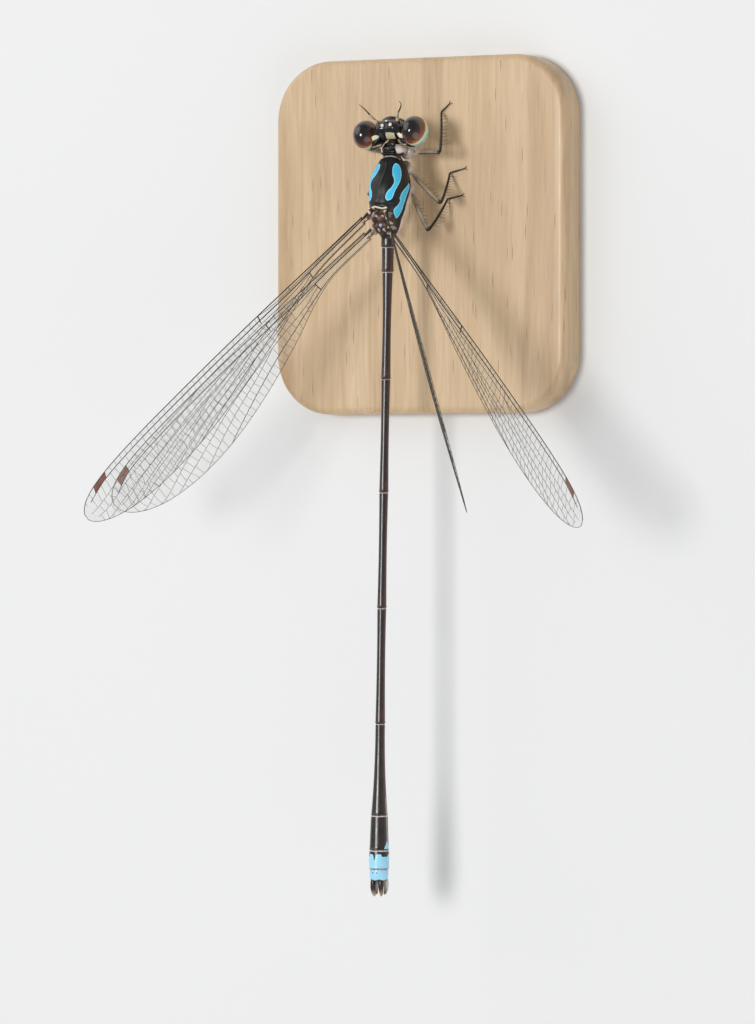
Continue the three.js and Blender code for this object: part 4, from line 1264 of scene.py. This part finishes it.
def addVeins(name, wing, material):
    shape = Shape()
    shares = list(1 - (1 - np.linspace(0, 1, 150)) ** 1.2)
    front = [wingPoint(wing, share, 0.0) for share in shares]
    tip = [wingPoint(wing, 1.0, t) for t in (0.15, 0.35, 0.65, 0.85)]
    rear = [wingPoint(wing, share, 1.0) for share in reversed(shares)]
    edge = front + tip + rear
    stout = [vein["edge"] * (1.35 - 0.5 * share) for share in shares]
    radii = stout + [vein["edge"] * 0.7] * 4 + [vein["edge"] * 0.62] * len(rear)
    veinTube(shape, edge, radii)
    for label, rows in veinRows.items():
        start, end = rows[0][0], rows[-1][0]
        spots = np.linspace(start, end, max(int((end - start) * 150), 8))
        thick = {"radius": vein["main"], "cubitus": vein["main"] * 0.7}.get(label, vein["branch"])
        points = [wingPoint(wing, share, veinShare(label, share), 0.004) for share in spots]
        veinTube(shape, points, [thick * (1.15 - 0.5 * share) for share in spots])
    # subcosta, node and the slanting vein where the branches begin
    spots = np.linspace(0, vein["node"], 40)
    points = [wingPoint(wing, share, 0.16 * (1 - (share / vein["node"]) ** 6), 0.0) for share in spots]
    veinTube(shape, points, [vein["branch"]] * len(points))
    reach = veinShare("secondRadial", vein["node"])
    points = [wingPoint(wing, vein["node"] + 0.004 * t, t * reach) for t in (0, 0.3, 0.65, 1)]
    veinTube(shape, points, [vein["main"] * 1.3, vein["main"] * 1.2, vein["main"], vein["branch"]])
    points = [wingPoint(wing, vein["arch"], t) for t in (0.26, 0.34, 0.43, 0.52, 0.66, 0.83)]
    veinTube(shape, points, [vein["main"]] * 6)
    for share in (0.15, 0.255):
        veinTube(shape, [wingPoint(wing, share, t) for t in (0, 0.08, 0.17, 0.25)], [vein["branch"]] * 4)
    for upper, lower, start, end in cellRows:
        crossVeins(shape, wing, upper, lower, start, end)
    shape.build("veins_" + name, material, "wing_membrane")


def addWingMark(name, wing, material):
    # the small thickened cell near the tip of the leading edge
    first, last = vein["mark"]
    rows, columns = 9, 7
    top, low = [], []
    for i in range(rows):
        for j in range(columns):
            t, c = i / (rows - 1), j / (columns - 1)
            share = first + (last - first) * t + (c - 0.5) * 0.006
            spot = c * veinShare("radius", share)
            swell = 0.012 * math.sin(math.pi * t) ** 0.4 * math.sin(math.pi * c) ** 0.4
            top.append(wingPoint(wing, share, spot, 0.008 + swell))
            low.append(wingPoint(wing, share, spot, -0.008 - swell))
    shape = Shape()
    faces = sheetFaces(rows, columns, wing["side"] > 0)
    shape.add(np.array(top + low), faces, tint=np.array(vein["markTint"]))
    shape.build("wingMark_" + name, material, "wing_membrane")


wingRoot = {
    "rods": [(-0.2, 0.16, darkTint), (0.14, 0.17, pinkTint)],  # how far back, radius at the thorax, tint
    "thin": 0.05,
    "knobs": [(0.12, -0.02, 0.12, creamTint), (-0.2, 0.2, 0.14, greyTint), (-0.3, -0.22, 0.13, creamTint)],
}


def addWingRoot(name, wing, material):
    # the stalk's hinge plates, from inside the thorax out to the first veins
    root, out, back, up = wing["frame"]
    shape = Shape()
    for shift, wide, colour in wingRoot["rods"]:
        points, radii = [], []
        for t in np.linspace(0, 1, 12):
            points.append(root + out * (-0.85 + 1.35 * t) + back * shift * (1 - 0.2 * t) + up * 0.02)
            radii.append((wide + (wingRoot["thin"] - wide) * t ** 1.4) * (0.5 if t in (0, 1) else 1))
        verts, faces = tube(points, radii, 14)
        shape.add(verts, faces, tint=np.array(colour))
    for reach, shift, size, colour in wingRoot["knobs"]:
        centre = root + out * reach + back * shift + up * 0.06
        verts, faces = ball(centre, (size, size * 1.1, size * 0.8), 20, 14)
        shape.add(verts, faces, tint=np.array(colour))
    shape.build("wingRoot_" + name, material, "cuticle_brown")


wingFinish = {
    "shades": [(0.3, (0.34, 0.34, 0.29)), (0.7, (0.5, 0.5, 0.47))],
    "alpha": (0.07, 0.12),
    "roughness": (0.1, 0.24),
    "coat": 0.6,
    "coatRoughness": 0.06,
    "veinShades": [(0.0, (0.009, 0.006, 0.004)), (1.0, (0.03, 0.018, 0.01))],
    "veinRoughness": (0.28, 0.45),
}


def membraneMaterial():
    material, tree, shader = newMaterial("wingMembrane", (0.42, 0.42, 0.38), 0.16)
    shader.inputs["Coat Weight"].default_value = wingFinish["coat"]
    shader.inputs["Coat Roughness"].default_value = wingFinish["coatRoughness"]
    cloud = texture(tree, "Noise", Scale=900.0, Detail=4.0).outputs["Fac"]
    join(tree, ramp(tree, cloud, wingFinish["shades"]), shader.inputs["Base Color"])
    join(tree, remap(tree, cloud, 0.3, 0.7, *wingFinish["alpha"]), shader.inputs["Alpha"])
    join(tree, remap(tree, cloud, 0.3, 0.7, *wingFinish["roughness"]), shader.inputs["Roughness"])
    ripple = texture(tree, "Noise", Scale=1600.0, Detail=2.0)
    addBump(tree, shader, ripple.outputs["Fac"], 0.35, 0.00005)
    material.surface_render_method = "BLENDED"
    return material


def veinMaterial():
    material, tree, shader = newMaterial("wingVein", (0.014, 0.009, 0.006), 0.35)
    grain = useGroup(tree, cuticleGrain, Patch=1200.0)
    join(tree, ramp(tree, grain["Mottle"], wingFinish["veinShades"]), shader.inputs["Base Color"])
    join(tree, remap(tree, grain["Mottle"], 0, 1, *wingFinish["veinRoughness"]), shader.inputs["Roughness"])
    addBump(tree, shader, grain["Relief"], 0.1, 0.000004)
    return material


def addWings(plain):
    membrane, veins = membraneMaterial(), veinMaterial()
    for name, values in wings.items():
        wing = {"side": values[0], "length": values[1], "frame": wingFrame(values)}
        addMembrane(name, wing, membrane)
        addVeins(name, wing, veins)
        addWingMark(name, wing, plain)
        addWingRoot(name, wing, plain)


claspers = {  # rows of station, side, height and radius; tints at the root and the tip
    "cercus": {
        "rows": [
            (45.98, 0.27, 0.26, 0.17), (46.3, 0.29, 0.29, 0.18), (46.55, 0.3, 0.29, 0.175),
            (46.8, 0.3, 0.26, 0.15), (47.0, 0.28, 0.2, 0.12), (47.12, 0.25, 0.15, 0.08),
            (47.18, 0.23, 0.12, 0.02),
        ],
        "tints": (darkTint, (0.42, 0.33, 0.22)),
        "slot": "cuticle_black",
    },
    "paraproct": {
        "rows": [
            (45.98, 0.3, -0.3, 0.2), (46.25, 0.34, -0.31, 0.2), (46.5, 0.37, -0.31, 0.17),
            (46.75, 0.36, -0.29, 0.13), (46.97, 0.32, -0.25, 0.1), (47.08, 0.29, -0.22, 0.03),
        ],
        "tints": ((0.62, 0.6, 0.5), (0.3, 0.2, 0.12)),
        "slot": "cuticle_brown",
    },
}


def addClaspers(material):
    x, z = tailLine(tailRows[-1][1])
    for word, way in bothSides:
        for name, clasper in claspers.items():
            rows = clasper["rows"]
            fine = np.linspace(rows[0][0], rows[-1][0], 26)
            points, radii = [], []
            for station in fine:
                side, height, radius = along(rows, station)
                points.append([x + way * side, station, z + height])
                radii.append(max(radius, 0.015))
            verts, faces = tube(points, radii, 20)
            share = np.repeat((fine - fine[0]) / (fine[-1] - fine[0]), 20)
            first, last = clasper["tints"]
            tint = mixed(np.tile(first, (len(share), 1)), last, ease(0.55, 0.95, share))
            shape = Shape()
            shape.add(verts, faces, tint=tint)
            piece = shape.build("clasper_%s_%s" % (name, word), material, clasper["slot"])
            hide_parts("%s_%s" % (name, word))


wood = {
    "rings": [  # pale and darker year rings
        (0.3, (0.5, 0.33, 0.18)), (0.48, (0.66, 0.48, 0.29)),
        (0.6, (0.6, 0.42, 0.24)), (0.75, (0.72, 0.55, 0.35)),
    ],
    "streaks": [(0.3, (0.86, 0.84, 0.82)), (0.7, (1.0, 1.0, 1.0))],
    "pores": (0.36, 0.22, 0.12),
    "stretch": (1.0, 0.06, 1.0),  # the grain runs along the base
    "turn": (0.0, 0.1, 0.12),
    "roughness": (0.36, 0.52),
    "coat": 0.12,
    "coatRoughness": 0.3,
}


def woodMaterial():
    material, tree, shader = newMaterial("waxedMaple", (0.62, 0.49, 0.33), 0.42)
    shader.inputs["Coat Weight"].default_value = wood["coat"]
    shader.inputs["Coat Roughness"].default_value = wood["coatRoughness"]
    mapping = node(tree, "ShaderNodeMapping", Scale=wood["stretch"], Rotation=wood["turn"])
    join(tree, objectPoint(tree), mapping.inputs["Vector"])
    rings = node(tree, "ShaderNodeTexNoise", Scale=420.0, Detail=5.0, Distortion=0.6)
    fibre = node(tree, "ShaderNodeTexNoise", Scale=5200.0, Detail=4.0)
    pores = node(tree, "ShaderNodeTexVoronoi", Scale=3600.0)
    for made in (rings, fibre, pores):
        join(tree, mapping.outputs["Vector"], made.inputs["Vector"])
    streak = ramp(tree, fibre.outputs["Fac"], wood["streaks"])
    grain = blendColour(tree, 1.0, ramp(tree, rings.outputs["Fac"], wood["rings"]), streak, "MULTIPLY")
    pore = remap(tree, pores.outputs["Distance"], 0.06, 0.16)
    join(tree, blendColour(tree, pore, wood["pores"], grain), shader.inputs["Base Color"])
    join(tree, remap(tree, fibre.outputs["Fac"], 0.3, 0.7, *wood["roughness"]), shader.inputs["Roughness"])
    addBump(tree, shader, sums(tree, "ADD", fibre.outputs["Fac"], pore), 0.3, 0.00004)
    return material


base = {"width": 22.0, "length": 24.0, "height": 2.4, "corner": 4.0, "round": 0.5}


def addBase():
    # a small slab with rounded corners and a softened edge all round
    across, long, high = base["width"] / 2, base["length"] / 2, base["height"]
    soft = base["round"]
    small = soft * 0.6
    profile = [(soft, 0.0)]  # inset and height, from the underside up
    for a in np.linspace(0.3, 1.57, 5):
        profile.append((small * (1 - math.sin(a)), small * (1 - math.cos(a))))
    profile += [(0.0, high * 0.3), (0.0, high * 0.5)]
    for a in np.linspace(0, 1.5708, 9):
        profile.append((soft * (1 - math.cos(a)), high - soft * (1 - math.sin(a))))
    profile += [(inset, high) for inset in (1.2, 2.4, 3.6)]
    verts = []
    for inset, z in profile:
        corner = max(base["corner"] - inset, 0.3)
        for cx, cy, first in ((1, 1, 0), (-1, 1, 90), (-1, -1, 180), (1, -1, 270)):
            for step in range(13):
                turn = math.radians(first + step * 7.5)
                x = cx * (across - inset - corner) + corner * math.cos(turn)
                y = cy * (long - inset - corner) + corner * math.sin(turn)
                verts.append((x, y, z))
    columns = 52
    faces = loopFaces(len(profile), columns)
    faces.append(tuple(range(columns - 1, -1, -1)))
    last = (len(profile) - 1) * columns
    faces.append(tuple(range(last, last + columns)))
    shape = Shape()
    shape.add(np.array(verts), faces)
    piece = shape.build("displayBase", woodMaterial(), "base_wood", origin=(0, 0, 0))
    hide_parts("stand_base")


addStudio(addCamera())
print("camera, floor and lights placed")
addBase()
print("base made")
bodySkin = addBodySkin()
print("body skin made")
headSkin = addHead()
addEyes()
limbFinish = skinMaterial("limbCuticle", marks=False, roughness=(0.3, 0.45), coat=0.2)
addFeelers(limbFinish)
print("head, eyes and feelers made")
addLegs(limbFinish)
addSetae("thoraxHairs", bodySkin, *setae["thorax"], limbFinish)
addSetae("headHairs", headSkin, *setae["head"], limbFinish)
print("legs and hairs made")
addWings(limbFinish)
print("wings made")
addClaspers(limbFinish)
print("claspers made")
